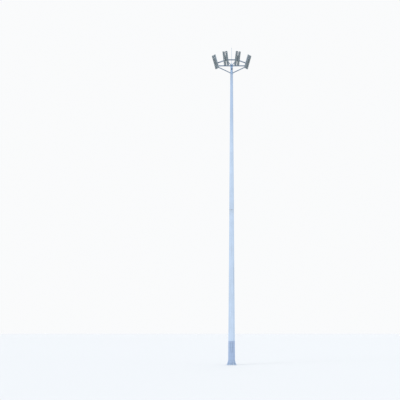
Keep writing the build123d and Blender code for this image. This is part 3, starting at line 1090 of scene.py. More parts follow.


# Dirt at the foot; under the upper length's lip at 7.4 m, a sharp dark line and a fainter wider band, both
# grime and painted shadow of the lip.
POLE_DIRT_AND_SHADE = (DirtAndShadeBand(7.4, -0.13, 1.2), DirtAndShadeBand(7.4, -0.55, 0.5), DirtAndShadeBand(-0.02, 0.5, 0.7))
POLE_PAINT = SprayedPaint(
    "pole_coating",
    "pole_paint",
    (0.455, 0.554, 0.691),
    0.34,
    coat=0.15,
    facets=True,
    bands=POLE_DIRT_AND_SHADE,
    # The top's painted shade, blended in from 10.2 m to 12.8 m.
    top_shade=(10.2, 12.8),
)
BASE_COATING = PebbledCoating(
    "base_pebbled_coating",
    "base_coating",
    (0.317, 0.417, 0.593),
    0.55,
    facets=True,
    bands=(DirtAndShadeBand(-0.02, 0.42, 0.7),),
)
COLLAR_PAINT = SprayedPaint("collar_coating", "pole_paint", (0.38, 0.53, 0.71), 0.34, coat=0.15, rain=0.15)
# The post's and the hub's coating is the pole's, painted darker and bluer as the shade under the head.
POST_SHADED_PAINT = SprayedPaint("post_coating_shaded", "head_paint", (0.285, 0.43, 0.63), 0.34, coat=0.15, rain=0.25)
# The head frame's coating is the pole's, painted far darker as the shade on the undersides of its tubes.
HEAD_SHADED_PAINT = SprayedPaint("head_coating_shaded", "head_paint", (0.18, 0.245, 0.335), 0.36, coat=0.15, rain=0.3)
HINGE_PAINT = SprayedPaint("hinge_coating", "hinge_steel", (0.28, 0.38, 0.54), 0.45, rain=0.5)
LOCK_PLATING = DrawnMetal("lock_plating", "lock_brass", (0.74, 0.73, 0.68), 0.28, metallic=1.0, dust=0.15)
ROD_ZINC = GalvanisedSteel("rod_zinc", "rod_steel", (0.36, 0.46, 0.56), 0.42, metallic=0.5)
OUTLET_RUBBER = MouldedPlastic("outlet_rubber_moulded", "outlet_rubber", (0.075, 0.085, 0.115), 0.6)
BOLT_STEEL = DrawnMetal("bolt_stainless", "bolt_steel", (0.56, 0.57, 0.58), 0.3, metallic=1.0, dust=0.2)

# The lamps lean, so these finishes read the coordinates that a mesh was drafted in.
LOCAL = Coordinates.LOCAL
LAMP_FINS = DrawnMetal(
    "lamp_fins_anodised", "lamp_aluminium", (0.28, 0.34, 0.40), 0.42, metallic=0.45, reads=LOCAL
)
BOARD_PLATE = DrawnMetal(
    "lamp_board_plate", "lamp_aluminium", (0.183, 0.234, 0.27), 0.5, metallic=0.5, reads=LOCAL, grain=500.0
)
LENS_COVER = MouldedPlastic(
    "lens_cover_clear", "lens_plastic", (0.130, 0.175, 0.203), 0.16, coat=0.5, reads=LOCAL
)
LENS_DOME = MouldedPlastic(
    "lens_dome_clear",
    "lens_plastic",
    (0.163, 0.207, 0.232),
    0.07,
    coat=0.8,
    reads=LOCAL,
    core=(0.50, 0.47, 0.33),
)
GASKET = MouldedPlastic("lens_gasket", "outlet_rubber", (0.035, 0.036, 0.038), 0.6, reads=LOCAL)
CENTRE_CASTING = CastMetal(
    "lamp_centre_casting", "lamp_casting", (0.143, 0.172, 0.185), 0.5, metallic=0.3, reads=LOCAL
)
DRIVER_COAT = CastMetal(
    "driver_powder_coat", "lamp_housing", (0.36, 0.40, 0.44), 0.42, metallic=0.3, reads=LOCAL, skin=2200.0
)


def show(name: str, mesh: Mesh, finish: Finish, *replaced: str, body: Body = Body.MAST) -> None:
    """Make a finished piece of a mesh.

    Args:
        name: the piece's name.
        mesh: its mesh, in place.
        finish: its finish.
        replaced: the CAD nodes that it stands for.
        body: the CAD body that it rides on.
    """
    mesh.name = name
    mesh.materials.clear()
    mesh.materials.append(finish.material())
    piece = bpy.data.objects.new(name, mesh)
    bpy.context.scene.collection.objects.link(piece)
    if replaced:
        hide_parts(*replaced)
    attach(piece, body.value)
    log.info("%s: %d faces on %s", name, len(mesh.polygons), body.value)


@dataclass(frozen=True)
class Screw:
    """A pan-head screw with a round socket."""

    radius: float  # radius of its head
    height: float  # height of its head
    sides: int = 10  # faces round it

    def mesh(self) -> Mesh:
        """The screw's head on the local plane z = 0.

        Returns:
            The mesh.
        """
        draft = Draft()
        profile = [(0, 0.45), (0.42, 0.5), (0.42, 1), (0.78, 1), (1, 0.45), (1, -0.2)]
        draft.lathe([(self.radius * x, self.height * z) for x, z in profile], segments=self.sides)
        return draft.mesh()


# Mast

# Directions of the pole's bent edges.
BENT_EDGES = [pi / 8 + index * pi / 4 for index in range(8)]


@dataclass(frozen=True)
class PoleForm:
    """The octagonal taper that the mast's pieces share."""

    base_flats: float = 0.322  # width across flats at the ground
    taper: float = 0.0134  # width lost for each metre of height
    bend: float = 0.012  # radius of the bent edges
    bend_steps: int = 4  # faces round each bent edge

    def flats_at(self, z: float) -> float:
        """Width across flats of the lower pole's outside at a height."""
        return self.base_flats - self.taper * z

    def edge_at(self, z: float) -> float:
        """Distance from the pole's axis to a bent edge's outside at a height."""
        return (self.flats_at(z) / 2 - self.bend) / cos(pi / 8) + self.bend

    def outline(self, z: float, offset: float = 0.0, bend: float | None = None) -> Path:
        """Outline of the pole at a height.

        Args:
            z: the height.
            offset: how far its facets stand outside the lower pole's.
            bend: radius of its bent edges, where it isn't the form's own.

        Returns:
            The points, anticlockwise.
        """
        radius = self.bend if bend is None else bend
        centre = (self.flats_at(z) / 2 + offset - radius) / cos(pi / 8)
        points = []
        for middle in BENT_EDGES:
            for step in range(self.bend_steps + 1):
                angle = middle - pi / 8 + step * pi / 4 / self.bend_steps
                x = centre * cos(middle) + radius * cos(angle)
                y = centre * sin(middle) + radius * sin(angle)
                points.append(Vector((x, y, z)))
        return points

    def facet_place(self, z: float) -> Matrix:
        """Frame in the front facet at a height: x right, y up the facet, z out of it."""
        origin = Vector((0, -self.flats_at(z) / 2, z))
        return basis(origin, ACROSS, Vector((0, -1, self.taper / 2)))


POLE = PoleForm()


@dataclass
class Foot:
    """Flange, ribs and their welds."""

    side: float = 0.480  # width of the flange
    thickness: float = 0.022  # its thickness
    corner: float = 0.030  # radius of its corners
    cable_hole: float = 0.090  # radius of the hole in its middle
    bolt_spacing: float = 0.380  # from anchor hole to anchor hole
    bolt_hole: float = 0.015  # radius of an anchor hole
    rib_height: float = 0.170  # height of a rib
    rib_reach: float = 0.058  # how far its foot stands out from the pole
    rib_thickness: float = 0.010  # its thickness
    rib_toe: float = 0.014  # height of its outer end
    rib_root: float = 0.004  # how far it is let into the bent edge, and its top stands out
    pole_bead: float = 0.0055  # radius of the weld bead round the pole
    rib_bead: float = 0.0035  # radius of the beads along the ribs
    ripple: float = 0.006  # from ripple to ripple of the beads

    def build(self) -> None:
        """Make the foot's pieces."""
        show("base_flange_plate", self.flange(), POLE_PAINT, "base_flange")
        show("base_rib_plates", self.ribs(), POLE_PAINT, "base_ribs")
        show("base_welds", self.welds(), POLE_PAINT)

    def flange(self) -> Mesh:
        """The plate with its five holes and broken edges.

        Returns:
            The mesh.
        """
        draft = Draft()
        half = self.bolt_spacing / 2
        holes = [circle(self.cable_hole, 64)]
        for x in (-half, half):
            holes += [shifted(circle(self.bolt_hole, 32), x, y) for y in (-half, half)]
        outer = rounded_rectangle(self.side, self.side, self.corner, 10)
        draft.plate(outer, holes, 0.0, self.thickness)
        draft.soften(0.0015)
        return draft.mesh()

    def ribs(self) -> Mesh:
        """Eight ribs against the pole's bent edges.

        Returns:
            The mesh.
        """
        low, high = self.thickness, self.thickness + self.rib_height
        edge = POLE.edge_at(low)
        outline = [
            (edge - self.rib_root, low), (edge + self.rib_reach, low),
            (edge + self.rib_reach, low + self.rib_toe), (edge + self.rib_root, high),
            (edge - self.rib_root, high),
        ]
        rib = Draft()
        half = self.rib_thickness / 2
        rib.prism(outline, -half, half, basis(Vector(), ACROSS, FORWARD))
        rib.soften(0.001)
        spots = Spots()
        for turn in BENT_EDGES:
            spots.add(Vector(), UP, turn)
        ribs = Draft()
        ribs.take(spots.grow(rib.mesh()))
        return ribs.mesh()

    def welds(self) -> Mesh:
        """Beads round the pole's foot and along both sides of each rib.

        Returns:
            The mesh.
        """
        lines = WeldLines()
        lines.add(POLE.outline(self.thickness + 0.001), self.pole_bead)
        low, high = self.thickness, self.thickness + self.rib_height
        edge = POLE.edge_at(low)
        side = self.rib_thickness / 2
        bend = 0.006
        for angle in BENT_EDGES:
            turn = Matrix.Rotation(angle, 4, "Z")
            for y in (-side, side):
                path = [
                    Vector((edge + self.rib_reach - 0.004, y, low)), Vector((edge + bend, y, low)),
                    Vector((edge, y, low + bend)), Vector((POLE.edge_at(high), y, high - 0.003)),
                ]
                lines.add([turn @ point for point in path], self.rib_bead, closed=False)
        return lines.grow(self.ripple)


@dataclass
class Shaft:
    """The pole's three lengths, their walls and the seam welds up their backs."""

    lower_wall: float = 0.006  # wall of the lower lengths
    upper_wall: float = 0.005  # wall of the upper length
    foot: float = 0.022  # height where the pole stands on the flange
    coated_to: float = 1.1  # height of the coated base length
    joint: float = 7.4  # height of the upper length's lower edge
    overlap: float = 0.45  # how far the upper length slips over the lower
    slip: float = 0.0003  # gap of that fit
    top: float = 14.48  # height of the pole's top
    lip: float = 0.0012  # width of the broken edge at the upper length's lower end
    seam: float = 0.0042  # radius of the seam welds
    seam_depth: float = 0.0018  # how deep their middle lies in the back facet

    @property
    def step(self) -> float:
        """How far the upper length's facets stand outside the lower pole's."""
        return self.slip + self.upper_wall

    def build(self) -> None:
        """Make the pole's pieces."""
        show("base_section_shell", self.base(), BASE_COATING, "base_section")
        show("door_frame_ring", self.door_frame(), POLE_PAINT, "door_frame")
        lower = self.length(self.coated_to, self.joint + self.overlap, 0.0, self.lower_wall)
        show("lower_pole_shell", lower, POLE_PAINT, "lower_pole")
        upper = self.length(self.joint, self.top, self.step, self.upper_wall)
        show("upper_pole_shell", upper, POLE_PAINT, "upper_pole")
        show("pole_seam_welds", self.seams(), POLE_PAINT)

    def base(self) -> Mesh:
        """The coated base length, with bent long edges and a broken edge round the hand hole.

        Returns:
            The mesh.
        """
        draft = Draft()
        draft.take_node("base_section")
        shortest = 0.9
        largest_bevel = 0.0009  # area of its largest face

        def is_long(edge: bmesh.types.BMEdge) -> bool:
            """Whether an edge runs up the length."""
            return abs(edge.verts[0].co.z - edge.verts[1].co.z) > shortest

        def is_outside(edge: bmesh.types.BMEdge) -> bool:
            """Whether an edge runs up the length's outside."""
            low = edge.verts[0].co
            return is_long(edge) and low.xy.length > POLE.edge_at(low.z) - self.lower_wall / 2

        def is_hole(edge: bmesh.types.BMEdge) -> bool:
            """Whether an edge is clear of both ends, so runs round the hand hole."""
            heights = [vert.co.z for vert in edge.verts]
            return min(heights) > self.foot + 0.1 and max(heights) < self.coated_to - 0.01

        reach = POLE.bend * tan(pi / 8)
        draft.soften(reach, POLE.bend_steps, 30.0, is_outside)
        draft.reopen()
        draft.soften(reach / 2, 3, 30.0, is_long)
        draft.reopen()
        draft.soften(0.0009, 2, 60.0, is_hole)
        for face in draft.bm.faces:
            for loop in face.loops:
                loop[draft.rub] *= float(face.calc_area() < largest_bevel)
        return draft.mesh(sharp=25.0)

    def door_frame(self) -> Mesh:
        """The stiffening ring behind the hand hole, with broken edges.

        Returns:
            The mesh.
        """
        draft = Draft()
        draft.take_node("door_frame")
        draft.soften(0.0008, 2, 60.0)
        return draft.mesh()

    def length(self, low: float, high: float, outside: float, wall: float) -> Mesh:
        """One hollow length of the pole, its lower edge broken where it stands outside the lower pole.

        Args:
            low: height of its lower end.
            high: height of its upper end.
            outside: how far its outside stands off the lower pole's.
            wall: its wall.

        Returns:
            The mesh.
        """
        start = [POLE.outline(low, outside)]
        if outside:
            start = [POLE.outline(low, outside - self.lip), POLE.outline(low + self.lip, outside)]
        loops = [
            *start,
            POLE.outline(high, outside),
            POLE.outline(high, outside - wall, POLE.bend / 2),
            POLE.outline(low, outside - wall, POLE.bend / 2),
        ]
        draft = Draft()
        draft.skin([draft.ring(loop) for loop in loops], loop=True)
        return draft.mesh(sharp=25.0)

    def seams(self) -> Mesh:
        """The flat seam welds up the back facet.

        Returns:
            The mesh.
        """
        lines = WeldLines()
        for low, high, offset in ((self.foot + 0.01, self.joint, 0.0), (self.joint, self.top, self.step)):
            depth = offset - self.seam_depth
            ends = [Vector((0, POLE.flats_at(z) / 2 + depth, z)) for z in (low, high)]
            lines.add(ends, self.seam, closed=False)
        return lines.grow(0.022, 0.06)


@dataclass
class ServiceDoor:
    """Door of the hand hole, with its hinges and its lock, in the front facet."""

    centre: float = 0.830  # height of its middle
    width: float = 0.086  # width of the panel
    height: float = 0.440  # height of the panel
    corner: float = 0.014  # radius of its corners
    thickness: float = 0.006  # its thickness
    gap: float = 0.006  # gap round it
    hinge_offset: float = 0.150  # from its middle to each hinge
    knuckle: float = 0.007  # radius of a hinge's barrel
    knuckle_length: float = 0.028  # length of half a hinge
    knuckle_out: float = 0.008  # from the facet to the barrel's axis
    pin: float = 0.004  # radius of a hinge's pin
    pin_play: float = 0.00008  # gap round that pin
    leaf: float = 0.013  # width of a hinge's leaf
    leaf_plate: float = 0.003  # thickness of that leaf
    lift: float = 0.0003  # gap between a hinge's halves
    lock_below_top: float = 0.036  # from the door's top to the lock
    lock: float = 0.012  # radius of the lock's head
    lock_proud: float = 0.004  # how far that stands out of the panel
    lock_well: float = 0.008  # radius of the well in it
    lock_barrel: float = 0.006  # radius of the lock's barrel
    lock_depth: float = 0.026  # length of that barrel

    def __post_init__(self) -> None:
        """Work out the frame in the facet at the door's middle, and the hinges' line in it."""
        self.place = POLE.facet_place(self.centre)
        self.hinge_line = -(self.width + self.gap) / 2

    def build(self) -> None:
        """Make the door's pieces."""
        show("service_door_panel", self.panel(), BASE_COATING, "service_door", body=Body.DOOR)
        show("door_hinge_halves", self.posts(), HINGE_PAINT, "door_hinge_posts")
        show("door_lock_cylinder", self.lock_head(), LOCK_PLATING, "door_lock", body=Body.DOOR)

    def barrel_place(self, low: float) -> Matrix:
        """Frame with its z up the hinges' axis, its origin that far up the facet."""
        foot = Vector((self.hinge_line, low, self.knuckle_out))
        return self.place @ basis(foot, ACROSS, LENGTHWAYS)

    def hinge_half(self, draft: Draft, low: float, high: float, on_door: bool) -> None:
        """Add half a hinge: a barrel, bored on the door, and its leaf.

        Args:
            draft: what it is added to.
            low: its lower end, up the facet.
            high: its upper end.
            on_door: whether it is the door's half or the pole's.
        """
        length = high - low
        edge = 0.0008
        profile = [
            (self.knuckle - edge, 0), (self.knuckle, edge), (self.knuckle, length - edge),
            (self.knuckle - edge, length),
        ]
        if on_door:
            bore = self.pin + self.pin_play
            profile = [(bore, 0), *profile, (bore, length)]
        draft.lathe(profile, self.barrel_place(low), 32, loop=on_door)
        draft.leave()
        inner = 0.0055 if on_door else 0.0
        neck = self.knuckle_out - self.pin - 0.0002
        outline = [
            (inner, 0.0), (self.leaf, 0.0), (self.leaf, self.leaf_plate),
            (self.knuckle + 0.0015, self.leaf_plate), (0.0045, neck), (inner, neck),
        ]
        if not on_door:
            outline = [(-x, z) for x, z in reversed(outline)]
        section = self.place @ basis(Vector((self.hinge_line, high, 0)), ACROSS, -LENGTHWAYS)
        draft.prism(outline, 0.0, length, section)
        draft.soften(0.0005, 2, 40.0)

    def panel(self) -> Mesh:
        """The panel with the moving halves of its hinges.

        Returns:
            The mesh.
        """
        draft = Draft()
        outer = rounded_rectangle(self.width, self.height, self.corner, 8)
        lock_hole = circle(self.lock_barrel + 0.0001, 24)
        holes = [shifted(lock_hole, 0.0, self.height / 2 - self.lock_below_top)]
        draft.plate(outer, holes, -self.thickness, 0.0, self.place)
        draft.soften(0.0011, 3)
        for middle in (-self.hinge_offset, self.hinge_offset):
            self.hinge_half(draft, middle + self.lift, middle + self.knuckle_length, on_door=True)
        return draft.mesh()

    def posts(self) -> Mesh:
        """The fixed halves of the hinges, with their pins.

        Returns:
            The mesh.
        """
        draft = Draft()
        root, point = 0.002, 0.001
        top = self.knuckle_length - self.pin + root
        pin = [(0, 0), (self.pin, 0), (self.pin, top - point), (self.pin - point, top), (0, top)]
        for middle in (-self.hinge_offset, self.hinge_offset):
            self.hinge_half(draft, middle - self.knuckle_length, middle, on_door=False)
            draft.lathe(pin, self.barrel_place(middle - root), 24)
        return draft.mesh()

    def lock_head(self) -> Mesh:
        """The lock's round head with a three-sided key stud in its well.

        Returns:
            The mesh.
        """
        draft = Draft()
        edge = 0.0008
        floor = self.lock_proud / 2
        profile = [
            (0, -self.lock_depth), (self.lock_barrel - edge, -self.lock_depth),
            (self.lock_barrel, -self.lock_depth + edge), (self.lock_barrel, 0.0), (self.lock, 0.0),
            (self.lock, self.lock_proud - 1.5 * edge), (self.lock - edge, self.lock_proud),
            (self.lock_well + 0.0005, self.lock_proud),
            (self.lock_well, self.lock_proud - edge / 2), (self.lock_well, floor), (0, floor),
        ]
        place = self.place @ Matrix.Translation((0, self.height / 2 - self.lock_below_top, 0))
        draft.lathe(profile, place)
        draft.leave()
        draft.prism(circle(self.lock_well / 2, 3), floor / 2, self.lock_proud, place)
        draft.soften(0.0004, 2, 40.0)
        return draft.mesh()


# Head


@dataclass
class HeadPost:
    """Round post above the pole, with its collar, the hub, the cable outlet and the rod."""

    foot: float = 14.48  # height of the pole's top
    collar_radius: float = 0.080  # radius of the collar
    collar_height: float = 0.018  # its height
    radius: float = 0.0605  # radius of the post
    wall: float = 0.005  # its wall
    insert: float = 0.4  # how far it stands in the pole
    slip: float = 0.0003  # gap between it and the collar
    edge: float = 0.003  # width of the broken edges of the collar and the hub
    hub_low: float = 14.865  # height of the hub's underside
    hub_high: float = 14.975  # height of the hub's upper edge
    hub_radius: float = 0.070  # radius of the hub
    dome: float = 0.025  # height of the hub's domed top
    land: float = 0.0025  # how far that is flattened for the rod
    rod_radius: float = 0.008  # radius of the rod
    rod_length: float = 0.950  # length of the rod and its socket
    rod_point: float = 0.060  # length of its point
    socket_radius: float = 0.020  # radius of the rod's socket
    socket_height: float = 0.060  # height of that socket
    outlet: float = 14.720  # height of the cable outlet
    outlet_turn: float = 15.0  # its turn round the post from the front to the right, in degrees
    outlet_radius: float = 0.040  # its radius
    outlet_proud: float = 0.014  # how far it stands out of the post
    outlet_sunk: float = 0.0155  # how far it reaches into the post
    sides: int = 72  # faces round the post
    ripple: float = 0.005  # from ripple to ripple of the beads

    @property
    def rod_seat(self) -> float:
        """Height of the flat on the hub that the rod's socket stands on."""
        return self.hub_high + self.dome - self.land

    def build(self) -> None:
        """Make the post's pieces."""
        show("pole_collar_ring", self.collar(), COLLAR_PAINT, "pole_collar")
        show("head_post_tube", self.post(), POST_SHADED_PAINT, "head_post")
        show("hub_drum", self.hub(), POST_SHADED_PAINT, "hub")
        show("lightning_rod_bar", self.rod(), ROD_ZINC, "lightning_rod")
        show("rod_socket_screws", self.rod_screws(), BOLT_STEEL)
        show("cable_outlet_bushing", self.bushing(), OUTLET_RUBBER, "cable_outlet")
        show("post_welds", self.beads(), POST_SHADED_PAINT)

    def beads(self) -> Mesh:
        """The weld beads round the collar, the post, the hub and the rod's socket.

        Returns:
            The mesh.
        """
        lines = WeldLines()
        for height, radius, size in (
            (self.foot - 0.001, self.collar_radius - self.edge, 0.004),
            (self.foot + self.collar_height, self.radius, 0.0042),
            (self.hub_low, self.radius, 0.0042),
            (self.rod_seat, self.socket_radius, 0.003),
        ):
            lines.add([Vector((x, y, height)) for x, y in circle(radius, 64)], size)
        return lines.grow(self.ripple)

    def collar(self) -> Mesh:
        """The ring on the pole's top edge.

        Returns:
            The mesh.
        """
        draft = Draft()
        low, high = self.foot, self.foot + self.collar_height
        bore, outer, edge = self.radius + self.slip, self.collar_radius, self.edge
        profile = [
            (bore, low), (outer - edge / 3, low), (outer, low + edge / 3), (outer, high - edge),
            (outer - edge * 0.3, high - edge * 0.3), (outer - edge, high), (bore, high),
        ]
        draft.lathe(profile, segments=self.sides, loop=True)
        return draft.mesh(sharp=40.0)

    def post(self) -> Mesh:
        """The post's tube.

        Returns:
            The mesh.
        """
        draft = Draft()
        low, inner = self.foot - self.insert, self.radius - self.wall
        profile = [(inner, low), (self.radius, low), (self.radius, self.hub_low), (inner, self.hub_low)]
        draft.lathe(profile, segments=self.sides, loop=True)
        return draft.mesh()

    def hub(self) -> Mesh:
        """The drum with its rounded lower edge and domed top.

        Returns:
            The mesh.
        """
        draft = Draft()
        outer, edge = self.hub_radius, self.edge
        rim = outer - 0.0012
        sphere = (outer**2 + self.dome**2) / (2 * self.dome)
        middle = self.hub_high + self.dome - sphere
        flat = sqrt(sphere**2 - (self.rod_seat - middle) ** 2)
        profile = [(0, self.hub_low), (outer - edge, self.hub_low)]
        for turn in (pi / 6, pi / 3, pi / 2):
            profile.append((outer - edge * (1 - sin(turn)), self.hub_low + edge * (1 - cos(turn))))
        profile += [(outer, self.hub_high - edge / 2), (rim, self.hub_high + edge / 5)]
        steps = 8
        for step in range(1, steps + 1):
            radius = rim + (flat - rim) * step / steps
            profile.append((radius, middle + sqrt(sphere**2 - radius**2)))
        profile.append((0, self.rod_seat))
        draft.lathe(profile, segments=self.sides)
        return draft.mesh()

    def rod(self) -> Mesh:
        """The rod in its socket, with a long point.

        Returns:
            The mesh.
        """
        draft = Draft()
        seat = self.rod_seat
        tip = seat + self.rod_length
        shoulder = tip - self.rod_point
        top = seat + self.socket_height
        socket, rod, edge = self.socket_radius, self.rod_radius, 0.001
        profile = [
            (0, seat), (socket - edge, seat), (socket, seat + edge), (socket, top - 4 * edge),
            (socket - 4 * edge, top), (rod + 0.4 * edge, top), (rod, top - 0.6 * edge),
            (rod, shoulder - 4 * edge), (rod - 0.2 * edge, shoulder),
            (4.5 * edge, (tip + shoulder) / 2), (1.4 * edge, tip - 2 * edge),
            (0.9 * edge, tip - edge / 2), (0, tip),
        ]
        draft.lathe(profile, segments=32)
        return draft.mesh()

    def rod_screws(self) -> Mesh:
        """Three screws that hold the rod in its socket.

        Returns:
            The mesh.
        """
        spots = Spots()
        level = UP * (self.rod_seat + 0.62 * self.socket_height)
        for index in range(3):
            out = Matrix.Rotation(2 * pi * (index + 0.25) / 3, 3, "Z") @ FORWARD
            spots.add(out * self.socket_radius + level, out)
        return settle(spots.grow(Screw(radius=0.005, height=0.0035, sides=16).mesh()))

    def bushing(self) -> Mesh:
        """The rubber bushing on the post, with a closed membrane in it.

        Returns:
            The mesh.
        """
        draft = Draft()
        out, proud = self.outlet_radius, self.outlet_proud
        neck = out - 0.002
        profile = [(0, -self.outlet_sunk), (neck, -self.outlet_sunk), (neck, 0.004), (out, 0.0055)]
        # How far each fold lies inside the rim, and how deep under its face.
        folds = [
            (0.0, 0.002), (0.0008, 0.0006), (0.002, 0.0), (0.0045, 0.0), (0.006, 0.0015),
            (0.007, 0.010), (0.013, 0.009), (0.0155, 0.0055), (0.0175, 0.0055), (0.020, 0.009),
            (0.034, 0.0095), (0.0355, 0.006), (out, 0.0055),
        ]
        profile += [(out - inset, proud - depth) for inset, depth in folds]
        facing = Matrix.Rotation(radians(self.outlet_turn), 3, "Z") @ FORWARD
        draft.lathe(profile, along(facing * self.radius + UP * self.outlet, facing))
        return draft.mesh(sharp=40.0)


@dataclass
class HeadFrame:
    """The half-octagon ring, its arms and struts, the lamps' ears and all the head's welds."""

    post: HeadPost  # the post that carries it
    level: float = 14.920  # height of the ring's axis
    half_width: float = 0.742  # half its width
    depth: float = 0.745  # how far its front bar is from the post's axis
    front_half: float = 0.262  # half the front bar's length
    side_length: float = 0.345  # length of a side bar
    tube: float = 0.030  # radius of the ring's tube
    arm: float = 0.021  # radius of the arms' tube
    strut: float = 0.024  # radius of the struts' tube
    strut_foot: float = 14.500  # height where the struts' axes meet the post's
    strut_drop: float = 0.046  # how far a strut's end is under the ring's axis
    ear_reach: float = 0.074  # from the ring's axis to a tilt bolt
    ear_root: float = 0.022  # from the ring's axis to an ear's inner end
    side_turn: float = 15.0  # turn of the two outer ears forward of their corner's bisector, in degrees
    ear_half: float = 0.018  # half an ear's height
    ear_thickness: float = 0.012  # its thickness
    ear_bore: float = 0.00808  # radius of its hole
    mitre_bead: float = 0.0032  # radius of the beads on the mitres and round the ears
    arm_bead: float = 0.004  # radius of the beads at the ends of the arms and the struts
    hub_bead: float = 0.0042  # radius of the beads between the chord and the hub
    ripple: float = 0.005  # from ripple to ripple of the beads

    def __post_init__(self) -> None:
        """Work out the ring's corners, from the left end of the chord round the front."""
        flat = [
            (-self.half_width, 0), (-self.half_width, -self.side_length),
            (-self.front_half, -self.depth), (self.front_half, -self.depth),
            (self.half_width, -self.side_length), (self.half_width, 0),
        ]
        self.corners = [Vector((x, y, self.level)) for x, y in flat]
        self.middle = Vector((0, 0, self.level))
        self.hub = RoundCut(self.middle, UP, self.post.hub_radius)
        self.welds = WeldLines()

    def corner(self, index: int) -> Vector:
        """The ring's corner of that number."""
        return self.corners[index % len(self.corners)]

    def way(self, index: int) -> Vector:
        """Unit direction of the bar that leaves a corner."""
        return (self.corner(index + 1) - self.corner(index)).normalized()

    def mitre(self, index: int) -> FlatCut:
        """The cut between the two bars at a corner."""
        return FlatCut(self.corner(index), self.way(index - 1) + self.way(index))

    def round_bar(self, index: int) -> RoundCut:
        """The outside of the bar that leaves a corner."""
        return RoundCut(self.corner(index), self.way(index), self.tube)

    def build(self) -> None:
        """Make the frame's pieces."""
        show("ring_side_tubes", self.bars(0, 4), HEAD_SHADED_PAINT, "ring_sides")
        show("ring_diagonal_tubes", self.bars(1, 3), HEAD_SHADED_PAINT, "ring_diagonals")
        show("ring_front_tube", self.bars(2), HEAD_SHADED_PAINT, "ring_front")
        show("ring_chord_tubes", self.chord(), HEAD_SHADED_PAINT, "ring_chord")
        show("radial_arm_tubes", self.arms(), HEAD_SHADED_PAINT, "radial_arms")
        show("head_strut_tubes", self.struts(), HEAD_SHADED_PAINT, "head_struts")
        for number in range(1, 5):
            show(f"lamp_{number}_ear_plate", self.ear(number), HEAD_SHADED_PAINT, f"lamp_{number}_ear")
        show("head_welds", self.welds.grow(self.ripple), HEAD_SHADED_PAINT)

    def bars(self, *numbers: int) -> Mesh:
        """Bars of the ring, mitred at both ends and welded at their start.

        Args:
            numbers: the corners that they leave.

        Returns:
            The mesh.
        """
        draft = Draft()
        for index in numbers:
            ends = (self.corner(index), self.corner(index + 1))
            near, _ = draft.tube(*ends, self.tube, [self.mitre(index)], [self.mitre(index + 1)])
            self.welds.add(near, self.mitre_bead)
        return draft.mesh()

    def chord(self) -> Mesh:
        """The straight bar that closes the ring, in two lengths, welded to the hub and at its last mitre.

        Returns:
            The mesh.
        """
        draft = Draft()
        for index in (0, 5):
            ends = (self.corner(index), self.middle)
            mitre, saddle = draft.tube(*ends, self.tube, [self.mitre(index)], [self.hub])
            self.welds.add(saddle, self.hub_bead)
        self.welds.add(mitre, self.mitre_bead)
        return draft.mesh()

    def arms(self) -> Mesh:
        """The two arms from the hub to the front corners.

        Returns:
            The mesh.
        """
        draft = Draft()
        for index in (2, 3):
            bars = [self.round_bar(index - 1), self.round_bar(index)]
            for loop in draft.tube(self.middle, self.corner(index), self.arm, [self.hub], bars):
                self.welds.add(loop, self.arm_bead)
        return draft.mesh()

    def struts(self) -> Mesh:
        """The two struts from the post's foot to the chord's ends.

        Returns:
            The mesh.
        """
        draft = Draft()
        foot = Vector((0, 0, self.strut_foot))
        around = RoundCut(foot, UP, self.post.radius)
        for index, side_bar in ((0, 0), (5, 4)):
            head = self.corner(index) - UP * self.strut_drop
            cuts = [FlatCut(head, head - foot), self.round_bar(5), self.round_bar(side_bar)]
            near, far = draft.tube(foot, head, self.strut, [around], cuts)
            self.welds.add(near, self.arm_bead)
            touching = [point for point in far if (point - head).dot(head - foot) < -1e-5]
            touching.sort(key=lambda point: point.y)
            self.welds.add(touching, self.arm_bead, closed=False)
        return draft.mesh()

    def ear(self, number: int) -> Mesh:
        """The ear at a lamp's corner, rounded at its end and drilled, with its weld's line.

        Args:
            number: the lamp's number.

        Returns:
            The mesh.
        """
        turn = {1: self.side_turn, 4: -self.side_turn}.get(number, 0.0)
        bisector = (self.way(number - 1) - self.way(number)).normalized()
        out = Matrix.Rotation(radians(turn), 3, "Z") @ bisector
        across = UP.cross(out)
        pivot = self.corner(number) + out * self.ear_reach
        half, thick = self.ear_half, self.ear_thickness / 2
        inner = self.ear_root - self.ear_reach
        nose = [(half * sin(angle), -half * cos(angle)) for angle in (pi * i / 16 for i in range(17))]
        draft = Draft()
        outline = [(inner, -half), *nose, (inner, half)]
        draft.plate(outline, [circle(self.ear_bore, 32)], -thick, thick, basis(pivot, out, -across))
        draft.soften(0.001, 2, 60.0)
        bars = [self.round_bar(number - 1), self.round_bar(number)]
        corners = [Vector((x * thick, y * half)) for x, y in ((-1, 1), (1, 1), (1, -1), (-1, -1))]
        loop = []
        for first, second, steps in zip(corners, corners[1:] + corners[:1], (4, 12, 4, 12)):
            for x, y in (first.lerp(second, step / steps) for step in range(steps)):
                loop.append(touch(pivot + across * x + UP * y, -out, bars, max))
        self.welds.add(loop, self.mitre_bead)
        return draft.mesh()


# Lamps


